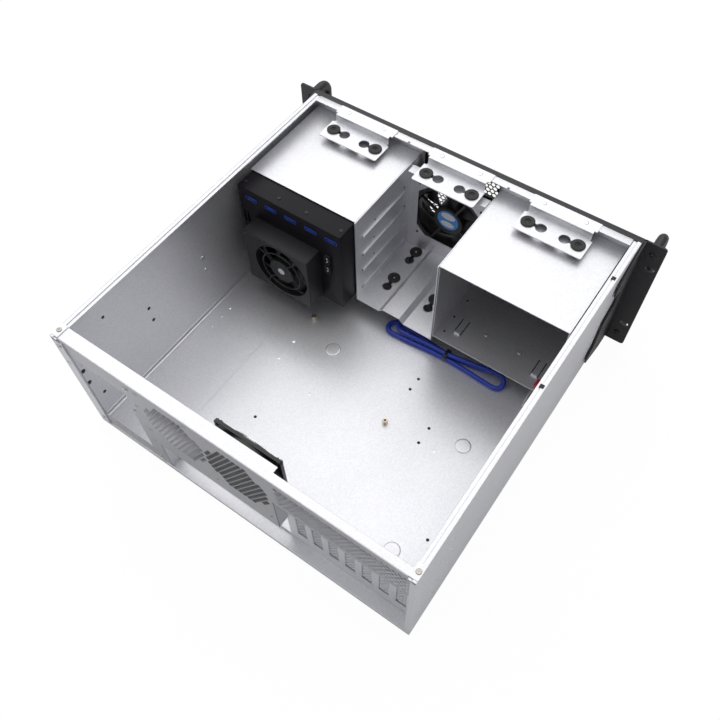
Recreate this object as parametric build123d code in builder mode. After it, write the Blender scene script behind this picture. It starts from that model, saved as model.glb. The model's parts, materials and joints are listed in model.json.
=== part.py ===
from build123d import *
from math import cos, radians, sin, tan
import os

# Open 4U rackmount case, lid removed. Millimetres.
# X is the width, the front faces -Y and the rear +Y, +Z is up.
# The origin lies on the underside, in the middle of the body.

# Body and sheet
body_width = 430.0
body_height = 177.0
front = -222.5
rear = 220.5
sheet = 1.2
thin_sheet = 1.0
seat = 0.1
slack = 0.5
rim_width = 5.0
ledge_width = 4.0
ledge_drop = 1.2

# Front fascia, ears and handles
fascia_depth = 8.0
fascia_sheet = 1.5
fascia_overhang = 1.0
rack_width = 482.6
rack_hole_pitch = 465.1
ear_sheet = 2.0
ear_corner = 3.0
ear_slot_pitch = 101.6
ear_slot_height = 7.0
ear_slot_length = 10.5
leg_depth = 37.0
leg_step_depth = 58.0
leg_hook_depth = 76.0
handle_pitch = 143.6
handle_rod = 12.0
handle_reach = 34.0
handle_bend = 12.0
handle_flats = 4
handle_sides = 12

# Front frame
frame_rim = 9.8
fan_port_width = 100.0
fan_port_low = 30.0
fan_port_drop = 9.0
cable_port_left = -114.0
cable_port_right = -176.0
cable_port_low = 7.5
cable_port_high = 21.5

# Perforated middle of the front
grille_x = 3.0
grille_open_width = 104.0
grille_low = 28.0
grille_drop = 6.0
grille_pitch = 15.6
grille_hole = 13.0

# Drive cages
cage_drop = 15.0
cage_rear = -80.0
cage_corner = 5.0
left_cage_inner_x = 59.5
module_width = 146.0
module_head = 1.3
right_cage_inner_x = -50.5
right_cage_width = 152.5
cage_bottom = 31.5
clip_front = -121.5
clip_slot_length = 24.0
clip_width = 9.0

# Middle hard drive bay
bay_floor = 24.0
bay_front = -192.0
bay_rear = -78.0
bay_front_drop = 2.0
bay_shelf_depth = 11.4
bay_shelf_left = 55.0
bay_shelf_right = -47.5
bay_cut_width = 86.0
bay_cut_height = 84.0
bay_cut_corner = 13.0
bay_clearance = 0.3
rib_pitch = 29.3
rib_first = 37.5
rib_height = 3.0
rib_depth = 2.0
rib_length = 90.0
channel_width = 24.0
channel_rise = 6.0
channel_slope = 6.0
channel_x = 8.0
bay_hole_span = 61.0
bay_hole_pitch = 51.4
keyhole_big = 13.0
keyhole_neck = 5.0
keyhole_offset = 16.0

# Brackets on the front rim
bracket_width = 81.0
bracket_pad = 17.4
bracket_drop = 8.6
bracket_reach = 31.6
bracket_neck = 3.0
bracket_notch = 4.0
bracket_rivet_pitch = 50.0
bracket_hole_pitch = 60.0
bracket_pitch = 130.5
bracket_mid_x = 1.0
grommet_diameter = 16.5
grommet_height = 5.0
grommet_groove = 11.0

# Hot-swap module
module_sheet = 1.0
module_rear = -53.0
shroud_depth = 25.0
shroud_width = 95.0
shroud_height = 83.5
shroud_x = 139.0
shroud_top = 119.5
shroud_wall = 1.5
module_fan_x = 133.0
module_fan_z = 78.0
module_fan_bore = 76.0
guard_ring = 52.0
guard_wire = 2.0
guard_boss = 9.0
tray_count = 5
tray_pitch = 28.6
tray_slack = 0.2
tray_length = 150.0
tray_face = 4.0
tray_gap = 0.8
socket_width = 16.8
socket_height = 4.8
socket_depth = 5.0
socket_drop = 12.7

# Fans
front_fan_size = 92.0
rear_fan_size = 80.0
fan_thickness = 25.0
fan_hole_inset = 4.3
fan_x_front = 3.0
fan_z_front = 95.5
fan_x_rear = -14.0
rear_fan_drop = 53.0
blade_count = 7
blade_twist = 38.0
blade_width = 0.84
blade_arch = 1.6
blade_sheet = 1.3
tip_clearance = 1.9

# Rear panel
rear_rim = 15.6
rear_rim_narrow = 9.2
rim_step_x = -100.0
tab_size = 12.0
rear_flange_left = 14.0
rear_flange_right = 6.4
rear_flange_drop = 6.0
supply_left = 200.6
supply_right = 126.0
supply_low = 25.0
supply_drop = 29.0
supply_notch = 8.5
supply_notch_height = 36.0
supply_screw_left = 208.0
supply_screw_right = 118.5
supply_screw_low = 14.0
supply_screw_drop = 14.5

# Recess with the I/O window and the card slots
recess_depth = 15.5
recess_sheet = 1.0
lip_height = 6.0
recess_left = 105.7
recess_step = -57.0
recess_right = -208.0
recess_io_top = 58.0
recess_slot_top = 125.0
io_width = 158.75
io_height = 44.45
io_bottom = 5.5
slot_count = 7
slot_pitch = 20.32
slot_first_x = -72.0
slot_window_width = 12.0
slot_window_bottom = 22.0
slot_window_top = 118.0
cover_width = 18.4
cover_sheet = 0.8
cover_notch = 3.2
cover_bottom = 8.0
cover_tab = 11.0

# Board standoffs
board_rear_row = 191.5
board_mid_row = 154.94
board_front_row = 72.39
board_col_mid = 157.48
board_col_far = 124.46
board_left_col = 96.0
standoff_across = 6.0
standoff_height = 6.5
standoff_bore = 2.5

# Cords
usb_cord_diameter = 6.0
lead_cord_diameter = 2.4
hank_height = 12.5
tie_x = -73.0
tie_width = 4.0
tie_sheet = 0.8

# Places worked out from the values above
wall_in = body_width / 2 - sheet
cage_top = body_height - cage_drop
fan_port_high = body_height - fan_port_drop
grille_high = body_height - grille_drop
bay_front_height = cage_top - bay_front_drop
fan_z_rear = body_height - rear_fan_drop
rear_flange_top = body_height - rear_flange_drop
supply_high = body_height - supply_drop
supply_notch_low = supply_high - supply_notch_height
supply_screw_high = body_height - supply_screw_drop
tray_front = front + fascia_depth + seat
frame_y = tray_front
frame_back = frame_y + sheet
rim_in = body_width / 2 - rim_width - ledge_width
ledge_top = body_height - ledge_drop
flange_half = rim_in - slack
panel_out = rear - sheet - seat
rear_in = panel_out - sheet
frame_top_in = frame_y + frame_rim
left_cage_outer_x = left_cage_inner_x + module_width + 2 * slack + 2 * thin_sheet
right_cage_outer_x = right_cage_inner_x - right_cage_width
cage_front = frame_back + seat
bay_left_x = left_cage_inner_x - bay_clearance
bay_right_x = right_cage_inner_x + bay_clearance
module_left = left_cage_inner_x + thin_sheet + slack
module_right = module_left + module_width
module_bottom = cage_bottom + thin_sheet + 2 * seat
module_top = cage_top - thin_sheet - module_head
module_height = module_top - module_bottom
socket_z = module_top - socket_drop
module_mid_x = (module_left + module_right) / 2
right_bay_left = right_cage_inner_x - thin_sheet
right_bay_right = right_cage_outer_x + thin_sheet
right_mid_x = (right_cage_inner_x + right_cage_outer_x) / 2
plate_out = rear - recess_depth
fascia_back = front + fascia_depth
plate_in = plate_out - recess_sheet
ear_mid_x = (body_width / 2 + fascia_overhang + rack_width / 2) / 2
ear_mid_z = body_height / 2

os.makedirs("parts", exist_ok=True)
finished = []


def keep(part, name):
    """Label a finished piece and remember it for export."""
    part.label = name
    finished.append(part)


def span_box(x0, x1, y0, y1, z0, z1, mode=Mode.ADD):
    """A box between two corners, in the current part."""
    with Locations(((x0 + x1) / 2, (y0 + y1) / 2, (z0 + z1) / 2)):
        return Box(abs(x1 - x0), abs(y1 - y0), abs(z1 - z0), mode=mode)


def span_rect(u0, u1, v0, v1, mode=Mode.ADD):
    """A rectangle between two corners, in the current sketch."""
    with Locations(((u0 + u1) / 2, (v0 + v1) / 2)):
        return Rectangle(abs(u1 - u0), abs(v1 - v0), mode=mode)


def at_y(y):
    """A plane across Y whose first axis is X and second axis is Z."""
    return Plane(origin=(0, y, 0), x_dir=(1, 0, 0), z_dir=(0, -1, 0))


def cut_corner_rect(width, height, corner, mode=Mode.ADD):
    """A rectangle with its four corners cut off, in the current sketch."""
    w = width / 2
    h = height / 2
    Polygon((w - corner, h), (-w + corner, h), (-w, h - corner), (-w, -h + corner), (-w + corner, -h),
            (w - corner, -h), (w, -h + corner), (w, h - corner), mode=mode)


def flat_round(radius, sides, mode=Mode.ADD):
    """A round outline made of flats, in the current sketch."""
    RegularPolygon(radius, sides, rotation=180 / sides, mode=mode)


# Chassis tray: floor, side walls, rim, joggle and ledge are one folded sheet
with BuildPart() as chassis_tray:
    with BuildSketch(at_y(rear)):
        span_rect(-body_width / 2, body_width / 2, 0, sheet)
        for side in (-1, 1):
            outer = side * body_width / 2
            rim_edge = outer - side * rim_width
            span_rect(outer, outer - side * sheet, 0, body_height)
            span_rect(outer, rim_edge, body_height - sheet, body_height)
            span_rect(rim_edge, rim_edge + side * sheet, ledge_top - sheet, body_height)
            span_rect(rim_edge + side * sheet, side * rim_in, ledge_top - sheet, ledge_top)
    extrude(amount=rear - tray_front)
    floor_edges = chassis_tray.edges().filter_by(Axis.Y).group_by(Axis.Z)[0]
    chamfer(floor_edges, length=0.7)
    # Flanges folded inward at the rear edge of the walls and up from the floor
    span_box(wall_in, body_width / 2 - rear_flange_left, rear - sheet, rear, 0.8, rear_flange_top)
    span_box(-wall_in, -body_width / 2 + rear_flange_right, rear - sheet, rear, 0.8, rear_flange_top)
    span_box(-wall_in, wall_in, rear - sheet, rear, 0.8, lip_height)
    # Lid locating notches in the left rim and a square hole in the right one
    for side in (-1, 1):
        for notch_y in (-125, -4, 112):
            span_box(side * (rim_in - 1), side * (rim_in + ledge_width - 1.3), notch_y, notch_y + 9,
                     ledge_top - 2 * sheet, body_height + 1, mode=Mode.SUBTRACT)
    span_box(-rim_in - ledge_width - 3.4, -rim_in - ledge_width + 1.2, -157, -152.4,
             ledge_top - 2 * sheet, body_height + 1, mode=Mode.SUBTRACT)
    # Raised panel under the power supply and three round embosses
    with BuildSketch(Plane.XY.offset(sheet)):
        with Locations((165.5, 108)):
            cut_corner_rect(78, 168, 9)
    extrude(amount=0.8)
    with BuildSketch(Plane.XY.offset(sheet)):
        with Locations((48.7, -11.6), (-151.8, 10.7), (-152.7, 158.4)):
            flat_round(9, 12)
    extrude(amount=0.8)
    # Spare board, clip and cable holes in the floor
    with BuildSketch(Plane.XY):
        with Locations((-107.5, 12.6), (-107.5, 35), (-128, 35), (-178, 126.7), (68.7, 115.3), (34, 55.7),
                       (96, 6.8), (board_left_col, board_rear_row - board_mid_row),
                       (board_left_col - board_col_mid,
                        board_rear_row - board_mid_row - board_front_row), (-60, -19)):
            flat_round(1.9, 6)
    extrude(amount=sheet + 1, mode=Mode.SUBTRACT)
keep(chassis_tray.part, "chassis_tray")

# Rear panel inside the tray's flanges, with its forward rim and the two corner tabs on the ledges
panel_half = wall_in - seat
rim_under = ledge_top + seat
with BuildPart() as rear_panel:
    with BuildSketch(at_y(panel_out)):
        span_rect(-panel_half, panel_half, sheet + seat, ledge_top - sheet - seat)
        span_rect(-flange_half, flange_half, sheet + seat, body_height)
        # L-shaped opening over the recess
        span_rect(recess_right, recess_step, sheet + seat, recess_slot_top, mode=Mode.SUBTRACT)
        span_rect(recess_step, recess_left, sheet + seat, recess_io_top, mode=Mode.SUBTRACT)
        # Power supply opening, wider at one corner
        with BuildLine():
            Polyline((supply_left, supply_low), (supply_left, supply_high), (supply_right + 2, supply_high),
                     (supply_right - supply_notch, supply_high - supply_notch),
                     (supply_right - supply_notch, supply_notch_low + supply_notch),
                     (supply_right, supply_notch_low), (supply_right, supply_low), close=True)
        make_face(mode=Mode.SUBTRACT)
    extrude(amount=sheet)
    chamfer(rear_panel.edges().filter_by(Axis.X).group_by(Axis.Z)[-1].group_by(Axis.Y)[-1], length=0.8)
    span_box(rim_step_x, flange_half, rear - rear_rim - sheet, rear_in, rim_under, body_height)
    span_box(-flange_half, rim_step_x, rear - rear_rim_narrow - sheet, rear_in, rim_under, body_height)
    tab_y = rear - 3.5
    for side in (-1, 1):
        span_box(side * (rim_in + ledge_width - sheet - seat), side * (flange_half - 6), tab_y - tab_size,
                 tab_y, rim_under, body_height)
keep(rear_panel.part, "rear_panel")

# Screws in the four corners round the supply opening
with BuildPart() as supply_screws:
    for screw_x, screw_z in ((supply_screw_left, supply_screw_high), (supply_screw_left, supply_screw_low)):
        with BuildSketch(at_y(rear + seat + 1.2)):
            with Locations((screw_x, screw_z)):
                flat_round(3.0, 12)
        extrude(amount=1.2)
    for screw_x, screw_z in ((supply_screw_right, supply_screw_high), (supply_screw_right, supply_screw_low)):
        with BuildSketch(at_y(panel_out + seat + 1.2)):
            with Locations((screw_x, screw_z)):
                flat_round(3.0, 12)
        extrude(amount=1.2)
keep(supply_screws.part, "supply_screws")

# Recess frame: side walls and roofs folded forward to the inset plate
with BuildPart() as slot_frame:
    recess_back = rear_in - seat
    with BuildSketch(at_y(recess_back)):
        span_rect(recess_right - recess_sheet, recess_step + recess_sheet, sheet + seat,
                  recess_slot_top + recess_sheet)
        span_rect(recess_step - recess_sheet, recess_left + recess_sheet, sheet + seat,
                  recess_io_top + recess_sheet)
    extrude(amount=recess_back - plate_in)
    with BuildSketch(at_y(recess_back)):
        span_rect(recess_right, recess_step, 0, recess_slot_top)
        span_rect(recess_step - recess_sheet, recess_left, 0, recess_io_top)
    extrude(amount=recess_back - plate_out, mode=Mode.SUBTRACT)
    with BuildSketch(at_y(plate_out + 1)):
        io_right = recess_left - 1.5 - io_width
        span_rect(io_right, io_right + io_width, io_bottom, io_bottom + io_height)
        for slot in range(slot_count):
            slot_x = slot_first_x - slot * slot_pitch
            span_rect(slot_x - slot_window_width / 2, slot_x + slot_window_width / 2, slot_window_bottom,
                      slot_window_top)
    extrude(amount=recess_sheet + 2, mode=Mode.SUBTRACT)
keep(slot_frame.part, "slot_frame")

# Slot covers: a bent strip with its screw tab over the recess roof
cover_back = plate_in - seat
tab_under = recess_slot_top + recess_sheet + seat
for slot in range(slot_count):
    slot_x = slot_first_x - slot * slot_pitch
    with BuildPart() as slot_cover:
        with BuildSketch(at_y(cover_back)):
            span_rect(slot_x - cover_width / 2, slot_x + cover_width / 2, cover_bottom + 8,
                      tab_under + cover_sheet)
            span_rect(slot_x - 5, slot_x + 5, cover_bottom, cover_bottom + 8)
        extrude(amount=cover_sheet)
        with BuildSketch(Plane.XY.offset(tab_under)):
            span_rect(slot_x - cover_width / 2, slot_x + cover_width / 2, cover_back - cover_sheet,
                      cover_back + cover_tab)
            span_rect(slot_x + 4 - cover_notch / 2, slot_x + 4 + cover_notch / 2, cover_back + 3,
                      cover_back + cover_tab + 1, mode=Mode.SUBTRACT)
        extrude(amount=cover_sheet)
    keep(slot_cover.part, "slot_cover_" + str(slot + 1))

with BuildPart() as slot_screws:
    for slot in range(slot_count):
        with BuildSketch(Plane.XY.offset(tab_under + cover_sheet + seat)):
            with Locations((slot_first_x - slot * slot_pitch + 4, plate_in + 6)):
                flat_round(2.9, 8)
        extrude(amount=1.9)
keep(slot_screws.part, "slot_screws")

# Front frame: upright sheet behind the fascia with a rear-facing rim
with BuildPart() as front_frame:
    with BuildSketch(at_y(frame_back)):
        span_rect(-panel_half, panel_half, sheet + seat, ledge_top - sheet - seat)
        span_rect(-flange_half, flange_half, sheet + seat, body_height)
        span_rect(left_cage_inner_x + thin_sheet, left_cage_outer_x - thin_sheet, cage_bottom + thin_sheet,
                  cage_top - thin_sheet, mode=Mode.SUBTRACT)
        span_rect(right_bay_right, right_bay_left, cage_bottom + thin_sheet, cage_top - thin_sheet,
                  mode=Mode.SUBTRACT)
        span_rect(fan_x_front - fan_port_width / 2, fan_x_front + fan_port_width / 2, fan_port_low,
                  fan_port_high, mode=Mode.SUBTRACT)
        span_rect(cable_port_right, cable_port_left, cable_port_low, cable_port_high, mode=Mode.SUBTRACT)
    extrude(amount=sheet)
    span_box(-flange_half, flange_half, frame_back, frame_top_in, body_height - sheet, body_height)
    for notch_x in (71.0, -60.5):
        span_box(notch_x - 1.5, notch_x + 1.5, frame_top_in - 3, frame_top_in + 1, body_height - 2 * sheet,
                 body_height + 1, mode=Mode.SUBTRACT)
keep(front_frame.part, "front_frame")

# Front fascia: a shallow folded pan, open to the rear
fascia_half = body_width / 2 + fascia_overhang
button_z = 15.0
power_x = -172.0
reset_x = -189.0
usb_x = -132.0
with BuildPart() as front_fascia:
    with BuildSketch(at_y(fascia_back)):
        span_rect(-fascia_half, fascia_half, 0, body_height)
    extrude(amount=fascia_depth)
    front_edges = front_fascia.edges().group_by(Axis.Y)[0]
    chamfer(front_edges, length=0.6)
    with BuildSketch(at_y(fascia_back)):
        span_rect(-fascia_half + fascia_sheet, fascia_half - fascia_sheet, fascia_sheet,
                  body_height - fascia_sheet)
    extrude(amount=fascia_depth - fascia_sheet, mode=Mode.SUBTRACT)
    with BuildSketch(at_y(fascia_back)):
        span_rect(module_left - slack, module_right + slack, module_bottom - slack, module_top + slack)
        span_rect(right_bay_right, right_bay_left, module_bottom - slack, module_top + slack)
        span_rect(grille_x - grille_open_width / 2, grille_x + grille_open_width / 2, grille_low, grille_high)
        with Locations((power_x, button_z), (reset_x, button_z)):
            flat_round(4.7, 12)
        with Locations((usb_x, button_z)):
            Rectangle(14.6, 13.8)
    extrude(amount=fascia_depth, mode=Mode.SUBTRACT)
keep(front_fascia.part, "front_fascia")

# Grille sheet behind the middle opening of the fascia, pierced with staggered hexagons
grille_y = front + fascia_sheet + seat + 0.6
grille_mid_z = (grille_low + grille_high) / 2
with BuildPart() as front_grille:
    with BuildSketch(at_y(grille_y)):
        with Locations((grille_x, grille_mid_z)):
            Rectangle(grille_open_width + 1.6, grille_high - grille_low + 4)
            for row in range(-4, 5):
                for step in range(-3, 3 + row % 2):
                    with Locations((grille_pitch * (step + 0.5 - 0.5 * (row % 2)), row * grille_pitch * 0.9)):
                        RegularPolygon(grille_hole / 2, 6, major_radius=False, rotation=30, mode=Mode.SUBTRACT)
    extrude(amount=0.6)
keep(front_grille.part, "front_grille")

# Rack ears: front plate with slots, and a stepped side leg ending in a low hook
for side, name in ((1, "ear_left"), (-1, "ear_right")):
    ear_in = side * (fascia_half + seat)
    with BuildPart() as ear:
        with BuildSketch(at_y(front + ear_sheet)):
            span_rect(ear_in, side * rack_width / 2, 0.4, body_height - 0.4)
            with Locations((side * rack_hole_pitch / 2, ear_mid_z)):
                with GridLocations(1, ear_slot_pitch, 1, 2):
                    SlotOverall(ear_slot_length, ear_slot_height, mode=Mode.SUBTRACT)
            with Locations((side * ear_mid_x, ear_mid_z)):
                with GridLocations(1, handle_pitch, 1, 2):
                    flat_round(2.2, 6, mode=Mode.SUBTRACT)
        extrude(amount=ear_sheet)
        ear_corners = ear.edges().filter_by(Axis.Y)
        chamfer(ear_corners.group_by(Axis.X)[-1 if side > 0 else 0], length=ear_corner)
        leg_plane = Plane(origin=(ear_in + side * ear_sheet, 0, 0), x_dir=(0, 1, 0), z_dir=(1, 0, 0))
        with BuildSketch(leg_plane):
            with BuildLine():
                Polyline((front, 0.4), (front + 22, 0.4), (front + 60, 16), (front + leg_hook_depth, 22),
                         (front + leg_hook_depth, 40), (front + leg_step_depth, 52),
                         (front + leg_step_depth, body_height - 85), (front + leg_depth, body_height - 73),
                         (front + leg_depth, body_height - 47), (front + leg_step_depth, body_height - 39),
                         (front + leg_step_depth, body_height - 19), (front + 24, body_height - 5),
                         (front, body_height - 0.4), close=True)
            make_face()
            leg_hole_y = front + leg_step_depth - 8
            with Locations((leg_hole_y, body_height - 29), (leg_hole_y, body_height - 105)):
                flat_round(2.2, 6, mode=Mode.SUBTRACT)
        extrude(amount=-side * ear_sheet)
    keep(ear.part, name)

# Handles: a bent rod between the two screw holes of each ear
handle_base = front - seat
handle_out = front - handle_reach
for side, name in ((1, "handle_left"), (-1, "handle_right")):
    hx = side * ear_mid_x
    z_low = ear_mid_z - handle_pitch / 2
    z_high = ear_mid_z + handle_pitch / 2
    bend_low = z_low + handle_bend
    bend_high = z_high - handle_bend
    bend_y = handle_out + handle_bend
    turns = [radians(90 * step / handle_flats) for step in range(handle_flats + 1)]
    low_bend = [(hx, bend_y - handle_bend * sin(turn), bend_low - handle_bend * cos(turn)) for turn in turns]
    high_bend = [(hx, bend_y - handle_bend * cos(turn), bend_high + handle_bend * sin(turn)) for turn in turns]
    with BuildPart() as handle:
        with BuildLine():
            Polyline((hx, handle_base, z_low), *low_bend, *high_bend, (hx, handle_base, z_high))
        with BuildSketch(Plane(origin=(hx, handle_base, z_low), x_dir=(1, 0, 0), z_dir=(0, -1, 0))):
            flat_round(handle_rod / 2, handle_sides)
        sweep(transition=Transition.RIGHT)
    keep(handle.part, name)

with BuildPart() as handle_screws:
    for side in (-1, 1):
        for end in (-1, 1):
            with BuildSketch(Plane(origin=(side * ear_mid_x, front + ear_sheet + seat,
                                           ear_mid_z + end * handle_pitch / 2),
                                   x_dir=(1, 0, 0), z_dir=(0, 1, 0))):
                flat_round(3.4, 10)
            extrude(amount=1.6)
keep(handle_screws.part, "handle_screws")

# Left drive cage: an open tube around the module
with BuildPart() as drive_cage_left:
    with BuildSketch(at_y(cage_rear)):
        span_rect(left_cage_inner_x, left_cage_outer_x, cage_bottom, cage_top)
        span_rect(left_cage_inner_x + thin_sheet, left_cage_outer_x - thin_sheet, cage_bottom + thin_sheet,
                  cage_top - thin_sheet, mode=Mode.SUBTRACT)
    extrude(amount=cage_rear - cage_front)
keep(drive_cage_left.part, "drive_cage_left")

# Right drive cage: the same tube, empty, with spring clips in its floor
with BuildPart() as drive_cage_right:
    with BuildSketch(at_y(cage_rear)):
        span_rect(right_cage_outer_x, right_cage_inner_x, cage_bottom, cage_top)
        span_rect(right_bay_right, right_bay_left, cage_bottom + thin_sheet, cage_top - thin_sheet,
                  mode=Mode.SUBTRACT)
    extrude(amount=cage_rear - cage_front)
    # Clip tongues: two slits each, with the tongue end bent up
    for clip_x in (-74, -178):
        for slit in (-1, 1):
            slit_x = clip_x + slit * clip_width / 2
            span_box(slit_x - 0.6, slit_x + 0.6, clip_front, clip_front + clip_slot_length, cage_bottom - 1,
                     cage_bottom + thin_sheet + 1, mode=Mode.SUBTRACT)
        span_box(clip_x - clip_width / 2 + 0.6, clip_x + clip_width / 2 - 0.6,
                 clip_front + clip_slot_length - 2.5, clip_front + clip_slot_length, cage_bottom,
                 cage_bottom + 4.5)
    with BuildSketch(Plane.XY.offset(cage_bottom)):
        for hole_y in (-148, -118, -93):
            with Locations((-58.5, hole_y)):
                flat_round(1.5, 6)
    extrude(amount=thin_sheet + 1, mode=Mode.SUBTRACT)
    with BuildSketch(Plane.XY.offset(cage_bottom + thin_sheet)):
        with Locations((-104, -116), (-149, -116)):
            flat_round(2.8, 10)
    extrude(amount=1.6, taper=30)
keep(drive_cage_right.part, "drive_cage_right")

# Middle bay: walls, stepped floor and the fan wall are one folded piece
with BuildPart() as hdd_cage:
    bay_wall_low = bay_floor
    with BuildSketch(at_y(bay_rear)):
        span_rect(bay_left_x, bay_left_x - thin_sheet, bay_wall_low, cage_top)
        span_rect(bay_right_x, bay_right_x + thin_sheet, bay_wall_low, cage_top)
        span_rect(bay_left_x, channel_x + channel_width / 2 + channel_slope, bay_floor, bay_floor + thin_sheet)
        span_rect(bay_right_x, channel_x - channel_width / 2 - channel_slope, bay_floor,
                  bay_floor + thin_sheet)
        span_rect(channel_x - channel_width / 2, channel_x + channel_width / 2,
                  bay_floor + channel_rise, bay_floor + channel_rise + thin_sheet)
        for side in (-1, 1):
            top_x = channel_x + side * channel_width / 2
            low_x = top_x + side * channel_slope
            with BuildLine():
                Polyline((top_x, bay_floor + channel_rise), (top_x, bay_floor + channel_rise + thin_sheet),
                         (low_x, bay_floor + thin_sheet), (low_x, bay_floor), close=True)
            make_face()
    extrude(amount=bay_rear - cage_front)
    with BuildSketch(at_y(bay_front)):
        span_rect(bay_right_x, bay_left_x, bay_floor, bay_front_height)
        with Locations((fan_x_front, fan_z_front)):
            cut_corner_rect(bay_cut_width, bay_cut_height, bay_cut_corner, mode=Mode.SUBTRACT)
            with GridLocations(front_fan_size - 2 * fan_hole_inset, front_fan_size - 2 * fan_hole_inset, 2, 2):
                flat_round(2.1, 6, mode=Mode.SUBTRACT)
    extrude(amount=thin_sheet)
    span_box(bay_shelf_right, bay_shelf_left, bay_front - thin_sheet, bay_front + bay_shelf_depth,
             bay_front_height, bay_front_height + thin_sheet)
    # Horizontal ribs pressed out of both side walls
    for side, wall_x in ((1, bay_left_x - thin_sheet), (-1, bay_right_x + thin_sheet)):
        for rib in range(4):
            rib_z = rib_first + rib * rib_pitch
            span_box(wall_x, wall_x - side * rib_depth, bay_rear - 14 - rib_length, bay_rear - 14, rib_z,
                     rib_z + rib_height)
    # Keyhole pairs in the floor
    with BuildSketch(Plane.XY.offset(bay_floor - 1)):
        for hole_x in (channel_x + bay_hole_span / 2, channel_x - bay_hole_span / 2):
            for hole_y in (-183, -183 + bay_hole_pitch):
                with Locations((hole_x, hole_y), (hole_x, hole_y + keyhole_offset)):
                    flat_round(keyhole_big / 2, 8)
                with Locations((hole_x, hole_y + keyhole_offset / 2)):
                    Rectangle(keyhole_neck, keyhole_offset)
    extrude(amount=thin_sheet + 2, mode=Mode.SUBTRACT)
keep(hdd_cage.part, "hdd_cage")


def keyhole_pair(direction):
    """One round hole for a grommet joined to an open one, in the current sketch."""
    flat_round(keyhole_big / 2, 8)
    with Locations((direction * keyhole_offset, 0)):
        flat_round(keyhole_big / 2, 8)
    with Locations((direction * keyhole_offset / 2, 0)):
        Rectangle(keyhole_offset, keyhole_neck)


# Brackets: riveted pad, a step down and the plate with two keyhole pairs
pad_z = body_height + seat
pad_front = frame_y + 0.5
pad_back = pad_front + bracket_pad
plate_z = pad_z - bracket_drop
bracket_hole_y = pad_back + 0.5 * bracket_reach
bracket_names = ("bracket_right", "bracket_middle", "bracket_left")
for index, name in enumerate(bracket_names):
    bx = bracket_mid_x + (index - 1) * bracket_pitch
    with BuildPart() as bracket:
        side_plane = Plane(origin=(bx - bracket_width / 2, 0, 0), x_dir=(0, 1, 0), z_dir=(1, 0, 0))
        with BuildSketch(side_plane):
            span_rect(pad_front, pad_back, pad_z, pad_z + sheet)
            span_rect(pad_back - sheet, pad_back, plate_z, pad_z + sheet)
            span_rect(pad_back - sheet, pad_back + bracket_reach, plate_z, plate_z + sheet)
        extrude(amount=bracket_width)
        rear_corners = bracket.edges().filter_by(Axis.Z).group_by(Axis.Y)[-1]
        chamfer(rear_corners, length=2)
        for side in (-1, 1):
            edge_x = bx + side * bracket_width / 2
            span_box(edge_x + side, edge_x - side * bracket_neck, pad_back - bracket_notch, pad_back + 3,
                     plate_z - 1, pad_z + 2 * sheet, mode=Mode.SUBTRACT)
        with BuildSketch(Plane.XY.offset(plate_z - 1)):
            with Locations((bx - bracket_hole_pitch / 2, bracket_hole_y)):
                keyhole_pair(1)
            with Locations((bx + bracket_hole_pitch / 2, bracket_hole_y)):
                keyhole_pair(-1)
        extrude(amount=sheet + 2, mode=Mode.SUBTRACT)
    keep(bracket.part, name)

with BuildPart() as bracket_rivets:
    for index in range(3):
        bx = bracket_mid_x + (index - 1) * bracket_pitch
        with BuildSketch(Plane.XY.offset(pad_z + sheet + seat)):
            with Locations((bx, pad_front + 7)):
                with GridLocations(bracket_rivet_pitch, 1, 2, 1):
                    flat_round(2.4, 8)
        extrude(amount=0.7)
keep(bracket_rivets.part, "bracket_rivets")


def grommet_at(x, y, under, panel):
    """A rubber grommet with a groove around the sheet it is pressed into."""
    half = (grommet_height - panel) / 2 - seat
    for low, high, radius in ((under - half, under - seat, grommet_diameter / 2),
                              (under - seat, under + panel + seat, grommet_groove / 2),
                              (under + panel + seat, under + panel + half, grommet_diameter / 2)):
        with BuildSketch(Plane.XY.offset(low)) as disc:
            with Locations((x, y)):
                flat_round(radius, 8)
        extrude(disc.sketch, amount=high - low)


with BuildPart() as bracket_grommets:
    for index in range(3):
        bx = bracket_mid_x + (index - 1) * bracket_pitch
        for end in (-1, 1):
            grommet_at(bx + end * bracket_hole_pitch / 2, bracket_hole_y, plate_z, sheet)
keep(bracket_grommets.part, "bracket_grommets")

with BuildPart() as bay_grommets:
    for hole_x in (channel_x + bay_hole_span / 2, channel_x - bay_hole_span / 2):
        for hole_y in (-183, -183 + bay_hole_pitch):
            grommet_at(hole_x, hole_y, bay_floor, thin_sheet)
keep(bay_grommets.part, "bay_grommets")

# Hot-swap module: an open-fronted box with a backplane wall
module_front = front + 0.2
with BuildPart() as module_housing:
    span_box(module_left, module_right, module_front, module_rear, module_bottom, module_top)
    span_box(module_left + module_sheet, module_right - module_sheet, module_front, module_rear - module_sheet,
             module_bottom + module_sheet, module_top - module_sheet, mode=Mode.SUBTRACT)
    with BuildSketch(at_y(module_rear + 1)):
        with Locations((module_fan_x, module_fan_z)):
            flat_round(module_fan_bore / 2, 24)
        with Locations((module_right - 4, 112), (module_right - 9, 112)):
            Rectangle(2.4, 19)
    extrude(amount=module_sheet + 2, mode=Mode.SUBTRACT)
keep(module_housing.part, "module_housing")

tray_mid_x = module_mid_x
socket_first_x = tray_mid_x - 2 * tray_pitch
with BuildPart() as data_sockets:
    for index in range(tray_count):
        sx = socket_first_x - 2.0 + index * tray_pitch
        with BuildSketch(at_y(module_rear + seat + socket_depth)):
            with Locations((sx, socket_z)):
                Rectangle(socket_width, socket_height)
                with Locations((-0.4, -0.3)):
                    Rectangle(socket_width - 3.4, socket_height - 2.4, mode=Mode.SUBTRACT)
                with Locations((0, 0.6)):
                    Rectangle(socket_width - 4.6, 1.0)
        extrude(amount=socket_depth)
keep(data_sockets.part, "data_sockets")

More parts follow.
